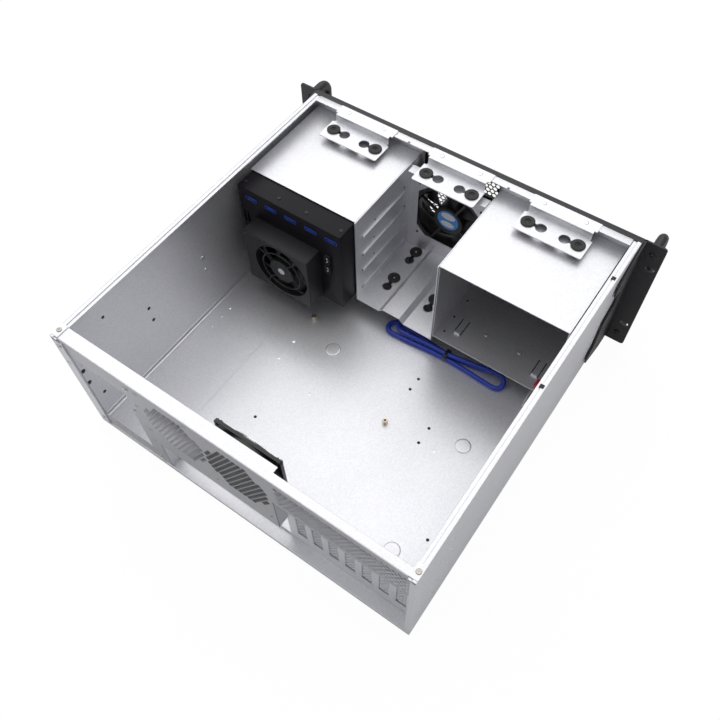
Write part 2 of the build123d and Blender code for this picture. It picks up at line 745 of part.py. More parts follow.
with BuildPart() as power_sockets:
    for pz in (113.6, 97.4):
        with BuildSketch(at_y(module_rear + seat + 4)):
            with Locations((78.7, pz)):
                Rectangle(7.4, 13.2)
        extrude(amount=4)
        with BuildSketch(at_y(module_rear + seat + 4)):
            with Locations((78.7, pz)):
                Rectangle(4.4, 10.2)
        extrude(amount=3.2, mode=Mode.SUBTRACT)
keep(power_sockets.part, "power_sockets")

with BuildPart() as module_screws:
    for screw_x in (module_right - 5, module_mid_x + 19, module_mid_x - 20, module_left + 5):
        with BuildSketch(Plane.XY.offset(module_top + seat)):
            with Locations((screw_x, module_rear - 10)):
                flat_round(2.2, 10)
        extrude(amount=0.7)
keep(module_screws.part, "module_screws")

# Shroud over the module fan, moulded with a ring and four spokes across its bore
shroud_out = module_rear + seat + shroud_depth
with BuildPart() as module_shroud:
    shroud_z = shroud_top - shroud_height / 2
    with BuildSketch(at_y(shroud_out)):
        with Locations((shroud_x, shroud_z)):
            Rectangle(shroud_width, shroud_height)
    extrude(amount=shroud_depth)
    chamfer(module_shroud.edges().group_by(Axis.Y)[-1], length=0.8)
    with BuildSketch(at_y(shroud_out - shroud_wall)):
        with Locations((shroud_x, shroud_z)):
            Rectangle(shroud_width - 2 * shroud_wall, shroud_height - 2 * shroud_wall)
    extrude(amount=shroud_depth - shroud_wall, mode=Mode.SUBTRACT)
    with BuildSketch(at_y(shroud_out)):
        with Locations((module_fan_x, module_fan_z)):
            flat_round(module_fan_bore / 2, 24)
            flat_round(guard_ring / 2 + guard_wire / 2, 18, mode=Mode.SUBTRACT)
            flat_round(guard_ring / 2 - guard_wire / 2, 18)
            with PolarLocations(0, 4, start_angle=35):
                with Locations((module_fan_bore / 4 + 4, 0)):
                    Rectangle(module_fan_bore / 2 - 6, guard_wire, mode=Mode.SUBTRACT)
            flat_round(guard_boss, 14, mode=Mode.SUBTRACT)
    extrude(amount=shroud_wall, mode=Mode.SUBTRACT)
keep(module_shroud.part, "module_shroud")


def make_rotor(x, y_front, z, tip_radius, hub_radius, length):
    """A hub with curved blades, each an arched strip run out from the hub."""
    with BuildSketch(at_y(y_front + length)) as hub:
        with Locations((x, z)):
            flat_round(hub_radius, 16)
    extrude(hub.sketch, amount=length)
    half = blade_width * length / 2
    for index in range(blade_count):
        angle = index * 360 / blade_count
        radial = Vector(cos(radians(angle)), 0, sin(radians(angle)))
        base = Vector(x, y_front + length / 2, z) + radial * (hub_radius - 0.8)
        with BuildSketch(Plane(origin=base, x_dir=(0, 1, 0), z_dir=radial)) as root:
            with Locations(Rotation(0, 0, blade_twist)):
                Polygon((-half, 0), (-half * 0.35, blade_arch), (half * 0.35, blade_arch), (half, 0),
                        (half, blade_sheet), (half * 0.35, blade_arch + blade_sheet),
                        (-half * 0.35, blade_arch + blade_sheet), (-half, blade_sheet), align=None)
        extrude(root.sketch, amount=tip_radius - hub_radius + 0.8)


def make_fan_frame(x, y_front, z, size, bore, hub_radius):
    """A square fan body with round duct, flange corners and four stator arms."""
    with BuildSketch(at_y(y_front + fan_thickness)) as body:
        with Locations((x, z)):
            cut_corner_rect(size, size, 2.5)
            flat_round(bore, 24, mode=Mode.SUBTRACT)
            with GridLocations(size - 2 * fan_hole_inset, size - 2 * fan_hole_inset, 2, 2):
                flat_round(2.15, 6, mode=Mode.SUBTRACT)
    extrude(body.sketch, amount=fan_thickness)
    # Waist between the two flanges, cut back to the duct wall at the corners
    waist = fan_thickness - 2 * 3.5
    with BuildSketch(at_y(y_front + fan_thickness - 3.5)) as corners:
        with Locations((x, z)):
            Rectangle(size + 2, size + 2)
            flat_round(bore + 1.6, 24, mode=Mode.SUBTRACT)
    extrude(corners.sketch, amount=waist, mode=Mode.SUBTRACT)
    # Stator disc and arms at the rear face
    with BuildSketch(at_y(y_front + fan_thickness)) as arms:
        with Locations((x, z)):
            flat_round(hub_radius, 16)
            with PolarLocations(0, 4, start_angle=28):
                with Locations((bore / 2, 0)):
                    Rectangle(bore + 1, 3.0)
    extrude(arms.sketch, amount=3.0)


# Front fan behind the grille, blowing inward
front_fan_y = bay_front - thin_sheet - seat - fan_thickness
front_fan_bore = front_fan_size / 2 - 2.0
with BuildPart() as front_fan_frame:
    make_fan_frame(fan_x_front, front_fan_y, fan_z_front, front_fan_size, front_fan_bore, 20)
keep(front_fan_frame.part, "front_fan_frame")

rotor_length = fan_thickness - 3.0 - 2 * 1.0
with BuildPart() as front_fan_rotor:
    make_rotor(fan_x_front, front_fan_y + 1.0, fan_z_front, front_fan_bore - tip_clearance, 20, rotor_length)
keep(front_fan_rotor.part, "front_fan_rotor")

# Rear fan behind the right-hand vent
rear_fan_y = rear_in - seat - fan_thickness
rear_fan_bore = rear_fan_size / 2 - 2.0
with BuildPart() as rear_fan_frame:
    make_fan_frame(fan_x_rear, rear_fan_y, fan_z_rear, rear_fan_size, rear_fan_bore, 17)
keep(rear_fan_frame.part, "rear_fan_frame")

with BuildPart() as rear_fan_rotor:
    make_rotor(fan_x_rear, rear_fan_y + 1.0, fan_z_rear, rear_fan_bore - tip_clearance, 17, rotor_length)
keep(rear_fan_rotor.part, "rear_fan_rotor")

# Module fan: a thin-walled frame inside the shroud and its rotor
module_fan_depth = shroud_depth - shroud_wall - 1.0
module_fan_y = module_rear + seat + 0.4
with BuildPart() as module_fan_frame:
    with BuildSketch(at_y(module_fan_y + module_fan_depth)):
        with Locations((module_fan_x, module_fan_z)):
            cut_corner_rect(79, 79, 3)
            flat_round(module_fan_bore / 2, 24, mode=Mode.SUBTRACT)
    extrude(amount=module_fan_depth)
    with BuildSketch(at_y(module_fan_y + 2.5)):
        with Locations((module_fan_x, module_fan_z)):
            flat_round(16, 20)
            with PolarLocations(0, 4, start_angle=20):
                with Locations((module_fan_bore / 4, 0)):
                    Rectangle(module_fan_bore / 2 + 1, 3.0)
    extrude(amount=2.5)
keep(module_fan_frame.part, "module_fan_frame")

with BuildPart() as module_fan_rotor:
    make_rotor(module_fan_x, module_fan_y + 3.3, module_fan_z, module_fan_bore / 2 - tip_clearance, 17,
               module_fan_depth - 4.3)
keep(module_fan_rotor.part, "module_fan_rotor")

# Wire guard on the inner face of the rear fan: two rings, two crossed wires and four eyes
with BuildPart() as rear_fan_guard:
    guard_y = rear_fan_y - seat
    with BuildSketch(at_y(guard_y - 1.5)):
        with Locations((fan_x_rear, fan_z_rear)):
            for ring_radius in (36.5, 22.0):
                with BuildSketch(mode=Mode.PRIVATE) as ring:
                    flat_round(ring_radius + 0.8, 16)
                    flat_round(ring_radius - 0.8, 16, mode=Mode.SUBTRACT)
                add(ring.sketch)
    extrude(amount=1.5)
    with BuildSketch(at_y(guard_y)):
        with Locations((fan_x_rear, fan_z_rear)):
            for turn in (45, 135):
                Rectangle((rear_fan_size - 2 * fan_hole_inset) * 2 ** 0.5, 1.6, rotation=turn)
            with GridLocations(rear_fan_size - 2 * fan_hole_inset, rear_fan_size - 2 * fan_hole_inset, 2, 2):
                flat_round(3.6, 6)
    extrude(amount=1.5)
keep(rear_fan_guard.part, "rear_fan_guard")

# Drive trays: a front face with a grip and two side rails
tray_side = tray_pitch - tray_gap
tray_height = module_height - 2 * module_sheet - 2 * tray_slack
tray_back = front + tray_length
for index in range(tray_count):
    tx = tray_mid_x + (index - 2) * tray_pitch
    tz = (module_bottom + module_top) / 2
    with BuildPart() as drive_tray:
        span_box(tx - tray_side / 2, tx + tray_side / 2, front, front + tray_face, tz - tray_height / 2,
                 tz + tray_height / 2)
        for side in (-1, 1):
            rail_z = tz + side * (tray_height / 2 - 1)
            span_box(tx - 11, tx + 11, front + tray_face, tray_back, rail_z - 1, rail_z + 1)
            span_box(tx - 11, tx - 9.5, front + tray_face, tray_back, rail_z, rail_z - side * 12)
            span_box(tx + 9.5, tx + 11, front + tray_face, tray_back, rail_z, rail_z - side * 12)
        # Recessed vent slots in the face and the raised grip bar
        with BuildSketch(at_y(front + tray_face)):
            with Locations((tx, tz + 14)):
                with GridLocations(1, 12, 1, 5):
                    Rectangle(16, 5)
        extrude(amount=tray_face, mode=Mode.SUBTRACT)
        with BuildSketch(at_y(front)):
            with Locations((tx, tz - 38)):
                cut_corner_rect(14, 26, 2.5)
        extrude(amount=4)
    keep(drive_tray.part, "drive_tray_" + str(index + 1))

# Covers on the three open 5.25 inch bays
bay_cover_height = (module_height - 2 * slack) / 3
for index in range(3):
    low = module_bottom + slack + index * bay_cover_height
    with BuildPart() as bay_cover:
        span_box(right_bay_right + slack, right_bay_left - slack, front + 0.2, front + 3.2, low + 0.3,
                 low + bay_cover_height - 0.3)
        front_face_edges = bay_cover.edges().group_by(Axis.Y)[0]
        chamfer(front_face_edges, length=0.8)
        span_box(right_bay_right + slack, right_bay_right + slack + 1.6, front + 3.2, front + 15, low + 8,
                 low + bay_cover_height - 8)
        span_box(right_bay_left - slack, right_bay_left - slack - 1.6, front + 3.2, front + 15, low + 8,
                 low + bay_cover_height - 8)
    keep(bay_cover.part, "bay_cover_" + str(index + 1))

# Buttons and the socket block in the fascia, with the board behind them
board_y = fascia_back - seat - 1.6
for name, bx in (("power_button", power_x), ("reset_button", reset_x)):
    with BuildPart() as button:
        with BuildSketch(at_y(front + 5)):
            with Locations((bx, button_z)):
                flat_round(4.2, 12)
        extrude(amount=6)
        chamfer(button.edges().group_by(Axis.Y)[0], length=0.6)
        with BuildSketch(at_y(front + fascia_sheet + seat + 1.0)):
            with Locations((bx, button_z)):
                flat_round(5.8, 12)
        extrude(amount=1.0)
    keep(button.part, name)

with BuildPart() as usb_block:
    span_box(usb_x - 7, usb_x + 7, front + 0.3, board_y - seat, button_z - 6.6, button_z + 6.6)
    for uz in (button_z - 3.2, button_z + 3.2):
        span_box(usb_x - 6.2, usb_x + 6.2, front + 0.3, front + 5.2, uz - 2.5, uz + 2.5, mode=Mode.SUBTRACT)
        span_box(usb_x - 5, usb_x + 5, front + 0.9, front + 5.2, uz + 0.2, uz + 1.9)
keep(usb_block.part, "usb_block")

with BuildPart() as front_board:
    span_box(-200, -118, board_y, board_y + 1.6, button_z - 8, button_z + 8)
    for post_x in (-197.5, -121):
        span_box(post_x - 2, post_x + 2, front + fascia_sheet + seat, board_y, button_z - 4, button_z + 4)
keep(front_board.part, "front_board")

# Brass standoffs
row_rear = board_rear_row
row_mid = board_rear_row - board_mid_row
row_front = row_mid - board_front_row
col_mid = board_left_col - board_col_mid
col_far = col_mid - board_col_far
with BuildPart() as standoffs:
    for sx, sy in ((board_left_col, row_rear), (col_mid, row_rear), (col_far, row_rear), (col_mid, row_mid),
                   (board_left_col, row_front)):
        with BuildSketch(Plane.XY.offset(sheet + seat)):
            with Locations((sx, sy)):
                RegularPolygon(standoff_across / 2, 6, major_radius=False)
                if (sx, sy) in ((board_left_col, row_rear), (col_mid, row_rear)):
                    Circle(standoff_bore / 2, mode=Mode.SUBTRACT)
                else:
                    flat_round(standoff_bore / 2, 6, mode=Mode.SUBTRACT)
        extrude(amount=standoff_height)
keep(standoffs.part, "standoffs")


def cord_tube(points, diameter, sides):
    """A plain tube of straight runs joined by tangent arcs; prints its bend radii in millimetres."""
    radii = []
    for index in range(1, len(points) - 1):
        before = Vector(points[index]) - Vector(points[index - 1])
        after = Vector(points[index + 1]) - Vector(points[index])
        half_turn = radians(before.get_angle(after)) / 2
        radii.append(0.45 * min(before.length, after.length) / tan(half_turn))
    print("bend radii", [round(r, 1) for r in radii])
    with BuildLine() as route:
        FilletPolyline(*points, radius=radii)
    first_run = Vector(points[1]) - Vector(points[0])
    with BuildSketch(Plane(origin=points[0], z_dir=first_run)) as section:
        flat_round(diameter / 2, sides)
    sweep(section.sketch, path=route.wires()[0])


# Blue cable from the front board, folded into a hank on the floor behind the bays
cord_exit_y = board_y + 1.6 + seat
hank_low = sheet + seat
hank_front = -92.0
usb_cord_route = ((-140.0, cord_exit_y, 12.0), (-140.0, -162.0, 12.0), (-132.0, -117.0, 7.8),
                  (-132.0, hank_front - seat, 7.8))
with BuildPart() as usb_cord:
    cord_tube(usb_cord_route, usb_cord_diameter, 8)
keep(usb_cord.part, "usb_cord")

tie_low_y = -73.5
tie_high_y = -86.5
with BuildPart() as cable_hank:
    with BuildSketch(Plane.XY.offset(hank_low)):
        with BuildLine():
            Polyline((16, -86), (16, -75), (10, -68.5), (-12, -67.5), (-60, tie_low_y), (-86, tie_low_y),
                     (-112, -73), (-138, -72), (-148, -76), (-152, -83), (-148, -90), (-140, hank_front),
                     (-122, hank_front), (-86, tie_high_y), (-60, tie_high_y), (-26, -90.5),
                     (-18, hank_front), (10, hank_front), close=True)
        make_face()
        with BuildLine():
            Polyline((-96, -79.5), (-132, -77.5), (-139, -82), (-132, -86.5), (-106, -85), close=True)
        make_face(mode=Mode.SUBTRACT)
    extrude(amount=hank_height)
    hank_top = cable_hank.faces().sort_by(Axis.Z)[-1].outer_wire().edges()
    chamfer(hank_top, length=2.4)
    span_box(tie_x - tie_width / 2 - seat, tie_x + tie_width / 2 + seat, -60, -100, 0, 30, mode=Mode.SUBTRACT)
    span_box(tie_x - tie_width, tie_x + tie_width, tie_low_y - tie_sheet - seat, tie_high_y + tie_sheet + seat,
             hank_low + tie_sheet + seat, hank_low + hank_height - 2.4)
keep(cable_hank.part, "cable_hank")

with BuildPart() as cable_tie:
    span_box(tie_x - tie_width / 2, tie_x + tie_width / 2, tie_high_y, tie_low_y, hank_low,
             hank_low + hank_height - 2.4 + seat + tie_sheet)
    span_box(tie_x - tie_width, tie_x + tie_width, tie_high_y + tie_sheet, tie_low_y - tie_sheet,
             hank_low + tie_sheet, hank_low + hank_height - 2.4 + seat, mode=Mode.SUBTRACT)
keep(cable_tie.part, "cable_tie")

# The plug at the end of the folded cable, lying under the middle bay
with BuildPart() as usb_plug:
    span_box(-10, 8, hank_front - seat - 13, hank_front - seat, hank_low, hank_low + 11)
    chamfer(usb_plug.edges().filter_by(Axis.Y).group_by(Axis.Z)[-1], length=1.5)
keep(usb_plug.part, "usb_plug")

# Front panel leads, brought up over the rear edge of the right cage, with their plug on its floor
lead_route = ((-165.0, cord_exit_y, 12.0), (-165.0, -176.0, 12.0), (-177.0, -138.0, 6.0),
              (-181.0, -102.0, 5.0), (-182.0, -67.0, 5.5), (-190.0, -65.5, 36.0), (-190.0, -83.0, 36.0))
with BuildPart() as lead_cord:
    cord_tube(lead_route, lead_cord_diameter, 6)
keep(lead_cord.part, "lead_cord")

with BuildPart() as lead_plug:
    span_box(-195.5, -184.5, -83.0 - seat, -94.0, cage_bottom + thin_sheet + seat, 39.4)
    chamfer(lead_plug.edges().filter_by(Axis.Y).group_by(Axis.Z)[-1], length=1.0)
keep(lead_plug.part, "lead_plug")

for piece in finished:
    export_step(piece, "parts/" + piece.label + ".step")
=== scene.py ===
import bpy
import bmesh
import json
import math
from mathutils import Matrix, Vector


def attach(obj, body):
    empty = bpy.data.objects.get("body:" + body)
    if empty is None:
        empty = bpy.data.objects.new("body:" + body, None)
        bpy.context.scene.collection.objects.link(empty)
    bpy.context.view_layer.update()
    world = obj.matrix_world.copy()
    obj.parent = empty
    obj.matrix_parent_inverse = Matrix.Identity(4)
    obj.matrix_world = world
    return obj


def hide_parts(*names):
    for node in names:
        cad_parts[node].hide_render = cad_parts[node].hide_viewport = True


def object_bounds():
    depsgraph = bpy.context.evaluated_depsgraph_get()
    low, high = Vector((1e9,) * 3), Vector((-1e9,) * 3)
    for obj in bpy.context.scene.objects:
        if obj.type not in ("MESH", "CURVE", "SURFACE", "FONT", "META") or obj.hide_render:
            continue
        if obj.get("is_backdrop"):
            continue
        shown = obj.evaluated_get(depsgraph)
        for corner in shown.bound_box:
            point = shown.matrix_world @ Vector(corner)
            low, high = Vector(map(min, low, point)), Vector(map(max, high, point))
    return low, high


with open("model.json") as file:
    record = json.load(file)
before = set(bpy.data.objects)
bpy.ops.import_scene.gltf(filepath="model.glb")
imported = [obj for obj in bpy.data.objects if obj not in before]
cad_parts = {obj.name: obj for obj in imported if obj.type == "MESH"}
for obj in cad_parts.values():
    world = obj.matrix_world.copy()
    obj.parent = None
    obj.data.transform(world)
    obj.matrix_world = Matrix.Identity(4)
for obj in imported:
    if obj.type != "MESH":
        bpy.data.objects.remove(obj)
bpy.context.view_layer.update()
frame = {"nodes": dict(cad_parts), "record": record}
scene = bpy.context.scene
NODES = frame["nodes"]
SLOT_OF = {row["node"]: row["material_slot"] for row in frame["record"]["subparts"]}
BODY_OF = {}
for body_name, members in frame["record"]["behaviour"]["bodies"].items():
    for member in members:
        BODY_OF[member] = body_name

# Camera, solved from the photograph
cam_data = bpy.data.cameras.new("camera")
cam = bpy.data.objects.new("camera", cam_data)
scene.collection.objects.link(cam)
cam_data.sensor_width = 36.0
cam_data.lens = 38.32
cam_data.clip_start = 0.01
cam_data.clip_end = 50.0
turn = Matrix(((-0.818125, 0.478419, -0.319041),
               (-0.574789, -0.696775, 0.429096),
               (-0.017012, 0.534435, 0.845038)))
cam.matrix_world = Matrix.Translation((-0.287694, 0.385611, 0.795695)) @ turn.to_4x4()
scene.camera = cam


# Materials: each varies a little over its surface, and coated() ones take a specular share
def node_tree(name):
    mat = bpy.data.materials.new(name)
    mat.use_nodes = True
    nt = mat.node_tree
    return mat, nt, nt.nodes["Principled BSDF"]


def noise(nt, scale, detail, rough):
    tex = nt.nodes.new("ShaderNodeTexNoise")
    tex.inputs["Scale"].default_value = scale
    tex.inputs["Detail"].default_value = detail
    tex.inputs["Roughness"].default_value = rough
    coords = nt.nodes.new("ShaderNodeTexCoord")
    nt.links.new(coords.outputs["Object"], tex.inputs["Vector"])
    return tex.outputs["Fac"]


def cells(nt, scale):
    tex = nt.nodes.new("ShaderNodeTexVoronoi")
    tex.inputs["Scale"].default_value = scale
    coords = nt.nodes.new("ShaderNodeTexCoord")
    nt.links.new(coords.outputs["Object"], tex.inputs["Vector"])
    grey = nt.nodes.new("ShaderNodeRGBToBW")
    nt.links.new(tex.outputs["Color"], grey.inputs["Color"])
    return grey.outputs["Val"]


def ramp(nt, fac, low, high, a=0.35, b=0.65):
    node = nt.nodes.new("ShaderNodeValToRGB")
    node.color_ramp.elements[0].position = a
    node.color_ramp.elements[1].position = b
    node.color_ramp.elements[0].color = (*low, 1)
    node.color_ramp.elements[1].color = (*high, 1)
    nt.links.new(fac, node.inputs["Fac"])
    return node.outputs["Color"]


def span(nt, fac, low, high):
    node = nt.nodes.new("ShaderNodeMapRange")
    node.inputs["From Min"].default_value = 0.3
    node.inputs["From Max"].default_value = 0.7
    node.inputs["To Min"].default_value = low
    node.inputs["To Max"].default_value = high
    nt.links.new(fac, node.inputs["Value"])
    return node.outputs["Result"]


def bump(nt, bsdf, fac, strength, distance):
    node = nt.nodes.new("ShaderNodeBump")
    node.inputs["Strength"].default_value = strength
    node.inputs["Distance"].default_value = distance
    nt.links.new(fac, node.inputs["Height"])
    nt.links.new(node.outputs["Normal"], bsdf.inputs["Normal"])


def sheet_steel(name, low, high, metallic, roughness):
    mat, nt, bsdf = node_tree(name)
    grain = cells(nt, 750.0)
    cloud = noise(nt, 9.0, 3.0, 0.5)
    nt.links.new(ramp(nt, grain, low, high, 0.1, 0.9), bsdf.inputs["Base Color"])
    bsdf.inputs["Metallic"].default_value = metallic
    nt.links.new(span(nt, cloud, roughness - 0.03, roughness + 0.05), bsdf.inputs["Roughness"])
    bump(nt, bsdf, noise(nt, 1400.0, 3.0, 0.6), 0.05, 0.0001)
    return mat


def coated(name, low, high, roughness, grain=2200.0, strength=0.15, specular=0.5):
    mat, nt, bsdf = node_tree(name)
    fine = noise(nt, grain, 3.0, 0.6)
    nt.links.new(ramp(nt, fine, low, high), bsdf.inputs["Base Color"])
    nt.links.new(span(nt, fine, roughness - 0.04, roughness + 0.05), bsdf.inputs["Roughness"])
    bsdf.inputs["Specular IOR Level"].default_value = specular
    bump(nt, bsdf, fine, strength, 0.0002)
    return mat


def metal(name, colour, roughness):
    mat, nt, bsdf = node_tree(name)
    fine = noise(nt, 1500.0, 2.0, 0.5)
    low = tuple(c * 0.92 for c in colour)
    nt.links.new(ramp(nt, fine, low, colour), bsdf.inputs["Base Color"])
    bsdf.inputs["Metallic"].default_value = 1.0
    nt.links.new(span(nt, fine, roughness - 0.05, roughness + 0.06), bsdf.inputs["Roughness"])
    bump(nt, bsdf, fine, 0.06, 0.0001)
    return mat


M = {
    "galvanised": sheet_steel("galvanised_sheet", (0.7, 0.7, 0.73), (0.79, 0.79, 0.82), 0.7, 0.38),
    "black_coat": coated("black_powder_coat", (0.010, 0.010, 0.012), (0.022, 0.022, 0.026), 0.44),
    "black_plastic": coated("black_plastic", (0.012, 0.012, 0.013), (0.022, 0.022, 0.024), 0.38,
                            1600.0, 0.06),
    "zinc": metal("bright_plating", (0.82, 0.82, 0.83), 0.24),
    "brass": metal("brass", (0.64, 0.56, 0.42), 0.3),
    "rubber": coated("black_rubber", (0.012, 0.012, 0.012), (0.024, 0.024, 0.024), 0.6,
                     1200.0, 0.1),
    "blue_plastic": coated("blue_plastic", (0.01, 0.06, 0.42), (0.02, 0.1, 0.55), 0.35,
                           1200.0, 0.05),
    "blue_cable": coated("blue_sheath", (0.013, 0.036, 0.34), (0.022, 0.06, 0.48), 0.4,
                         900.0, 0.05),
    "white_plastic": coated("white_plastic", (0.72, 0.7, 0.7), (0.84, 0.82, 0.82), 0.4,
                            900.0, 0.04),
    "red_plastic": coated("red_plastic", (0.45, 0.01, 0.03), (0.6, 0.02, 0.06), 0.35, 900.0, 0.04),
    "board": coated("board_laminate", (0.01, 0.1, 0.04), (0.02, 0.16, 0.07), 0.35, 700.0, 0.05),
}
PAPER = coated("label_paper", (0.72, 0.74, 0.78), (0.82, 0.84, 0.88), 0.5, 800.0, 0.03)
LABEL_BLUE = coated("label_blue", (0.06, 0.28, 0.72), (0.09, 0.34, 0.82), 0.4, 800.0, 0.03)
SCREW_GREY = metal("screw_grey", (0.5, 0.47, 0.43), 0.34)
# A darker copy of the galvanised sheet for the rear panel and slot covers: painted shade, standing for the
# dark surroundings these sheets reflect
SHADED_REAR_STEEL = sheet_steel("rear_steel_painted_shade", (0.4, 0.4, 0.42), (0.47, 0.47, 0.5), 0.85, 0.3)
# Near-black used only for painted shade: discs and plates where holes, slits and dimples lie in shade
PAINTED_SHADE_DARK = coated("painted_shade_dark", (0.004, 0.004, 0.005), (0.01, 0.01, 0.012), 0.5, 1500.0, 0.05)
# Dark navy inside the data sockets' mouths: painted shade
SOCKET_SHADE_NAVY = coated("socket_mouth_painted_shade", (0.003, 0.005, 0.03), (0.005, 0.009, 0.05), 0.45, 1500.0, 0.05, 0.2)
MODULE_BLACK = coated("module_black", (0.008, 0.007, 0.010), (0.014, 0.012, 0.017), 0.45,
                      2200.0, 0.1, 0.18)
SOCKET_BLUE = coated("socket_blue", (0.02, 0.06, 0.4), (0.03, 0.09, 0.5), 0.35, 1200.0, 0.03)
for name, obj in NODES.items():
    obj.data.materials.clear()
    obj.data.materials.append(M[SLOT_OF[name]])

# Lengths are in millimetres from here on, and MM turns them into metres
MM = 0.001
SAME_POINT = 1e-6


def place_xz(y):
    """First axis X, second Z, thickness along -Y, at this y in millimetres."""
    return Matrix(((1, 0, 0, 0), (0, 0, -1, y * MM), (0, 1, 0, 0), (0, 0, 0, 1)))


def place_xy(z):
    """First axis X, second Y, thickness along Z, at this z."""
    return Matrix.Translation((0, 0, z * MM))


def place_yz(x):
    """First axis Y, second Z, thickness along X, at this x."""
    return Matrix(((0, 0, 1, x * MM), (1, 0, 0, 0), (0, 1, 0, 0), (0, 0, 0, 1)))


def along_y(y0):
    """First axis X, second Z, run along +Y from y0."""
    return Matrix(((1, 0, 0, 0), (0, 0, 1, y0 * MM), (0, 1, 0, 0), (0, 0, 0, 1)))


def axis_place(centre, axis, roll=0.0):
    """Local third axis along `axis`, at this centre."""
    z = Vector(axis).normalized()
    helper = Vector((0, 0, 1)) if abs(z.z) < 0.9 else Vector((1, 0, 0))
    x = helper.cross(z).normalized()
    y = z.cross(x)
    rot = Matrix((x, y, z)).transposed().to_4x4()
    return Matrix.Translation(Vector(centre) * MM) @ rot @ Matrix.Rotation(roll, 4, "Z")


def finish_mesh(me, flat_above=None):
    """Smooth shading; faces larger than flat_above (square millimetres) stay flat if it is given."""
    limit = math.inf if flat_above is None else flat_above * MM * MM
    me.polygons.foreach_set("use_smooth", [face.area < limit for face in me.polygons])
    me.set_sharp_from_angle(angle=math.radians(32))
    me.update()


def piece(name, meshes, mat, body="case", node=None, flat_above=None):
    """One object joined from meshes in their place; it replaces a CAD node or only takes a slot."""
    bm = bmesh.new()
    for me in meshes:
        bm.from_mesh(me)
        bpy.data.meshes.remove(me)
    bmesh.ops.remove_doubles(bm, verts=bm.verts, dist=SAME_POINT)
    out = bpy.data.meshes.new(name)
    bm.to_mesh(out)
    bm.free()
    finish_mesh(out, flat_above)
    ob = bpy.data.objects.new(name, out)
    scene.collection.objects.link(ob)
    out.materials.append(mat)
    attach(ob, body)
    if node is not None:
        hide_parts(node)
    return ob


def plate(loops, place, thick):
    """A sheet from closed loops, the outline first and then its holes; place is its middle."""
    cu = bpy.data.curves.new("plate", "CURVE")
    cu.dimensions = "2D"
    cu.fill_mode = "BOTH"
    cu.extrude = thick * MM / 2
    for loop in loops:
        sp = cu.splines.new("POLY")
        sp.points.add(len(loop) - 1)
        for point, (u, v) in zip(sp.points, loop):
            point.co = (u * MM, v * MM, 0, 1)
        sp.use_cyclic_u = True
    ob = bpy.data.objects.new("plate", cu)
    me = bpy.data.meshes.new_from_object(ob)
    bpy.data.objects.remove(ob)
    bpy.data.curves.remove(cu)
    me.transform(place)
    return me


def ngon(cx, cy, r, sides=24, start=0.0):
    angles = [start + 2 * math.pi * i / sides for i in range(sides)]
    return [(cx + r * math.cos(a), cy + r * math.sin(a)) for a in angles]


def rect(u0, u1, v0, v1):
    return [(u0, v0), (u1, v0), (u1, v1), (u0, v1)]


def rounded(points, radius, steps=5):
    """A polygon with its corners rounded; radius is one number or one for each corner."""
    out = []
    count = len(points)
    radii = [radius] * count if isinstance(radius, (int, float)) else radius
    for i in range(count):
        p = Vector(points[i])
        a = Vector(points[i - 1]) - p
        b = Vector(points[(i + 1) % count]) - p
        r = radii[i]
        half = a.angle(b) / 2
        if r <= 0 or half > 1.55:
            out.append(tuple(p))
            continue
        reach = min(r / math.tan(half), a.length * 0.49, b.length * 0.49)
        r = reach * math.tan(half)
        start = p + a.normalized() * reach
        end = p + b.normalized() * reach
        centre = p + (a.normalized() + b.normalized()).normalized() * (r / math.sin(half))
        v0 = start - centre
        v1 = end - centre
        ang = v0.angle(v1)
        sign = 1 if v0.x * v1.y - v0.y * v1.x > 0 else -1
        for k in range(steps + 1):
            t = sign * ang * k / steps
            out.append((centre.x + v0.x * math.cos(t) - v0.y * math.sin(t),
                        centre.y + v0.x * math.sin(t) + v0.y * math.cos(t)))
    return out


def slot_loop(cx, cy, length, height, upright=False, steps=8):
    """A slot with round ends, lying along the first axis or upright along the second."""
    half = (length - height) / 2
    loop = []
    for end in (1, -1):
        for k in range(steps + 1):
            t = -math.pi / 2 + math.pi * k / steps + (0 if end > 0 else math.pi)
            loop.append((end * half + height / 2 * math.cos(t), height / 2 * math.sin(t)))
    if upright:
        return [(cx - v, cy + u) for u, v in loop]
    return [(cx + u, cy + v) for u, v in loop]


HEX_REACH = 40
OCTAGON_DIAGONAL = 1.414


def hex_field(cx, cy, pitch, hole, inside):
    """Staggered hexagons about a centre, where inside(u, v) says so."""
    loops = []
    row_step = pitch * math.sqrt(3) / 2
    for row in range(-HEX_REACH, HEX_REACH + 1):
        for col in range(-HEX_REACH, HEX_REACH + 1):
            u = (col + 0.5 * (row % 2)) * pitch
            v = row * row_step
            if inside(u, v):
                loops.append(ngon(cx + u, cy + v, hole / math.sqrt(3), 6, math.pi / 6))
    return loops


def within(half_u, half_v):
    return lambda u, v: abs(u) <= half_u and abs(v) <= half_v


def octagon(half, margin):
    side = half - margin
    corner = half * OCTAGON_DIAGONAL - margin
    return lambda u, v: abs(u) <= side and abs(v) <= side and abs(u) + abs(v) <= corner


def lathe(profile, place, sides=32):
    """A turned form from (radius, height) pairs about the local third axis."""
    verts = []
    faces = []
    for r, h in profile:
        for i in range(sides):
            a = 2 * math.pi * i / sides
            verts.append((r * MM * math.cos(a), r * MM * math.sin(a), h * MM))
    for j in range(len(profile) - 1):
        for i in range(sides):
            k = (i + 1) % sides
            faces.append((j * sides + i, j * sides + k, (j + 1) * sides + k, (j + 1) * sides + i))
    if profile[0][0] > 0:
        faces.append(tuple(reversed(range(sides))))
    if profile[-1][0] > 0:
        faces.append(tuple(range((len(profile) - 1) * sides, len(profile) * sides)))
    me = bpy.data.meshes.new("lathe")
    me.from_pydata(verts, [], faces)
    me.transform(place)
    return me


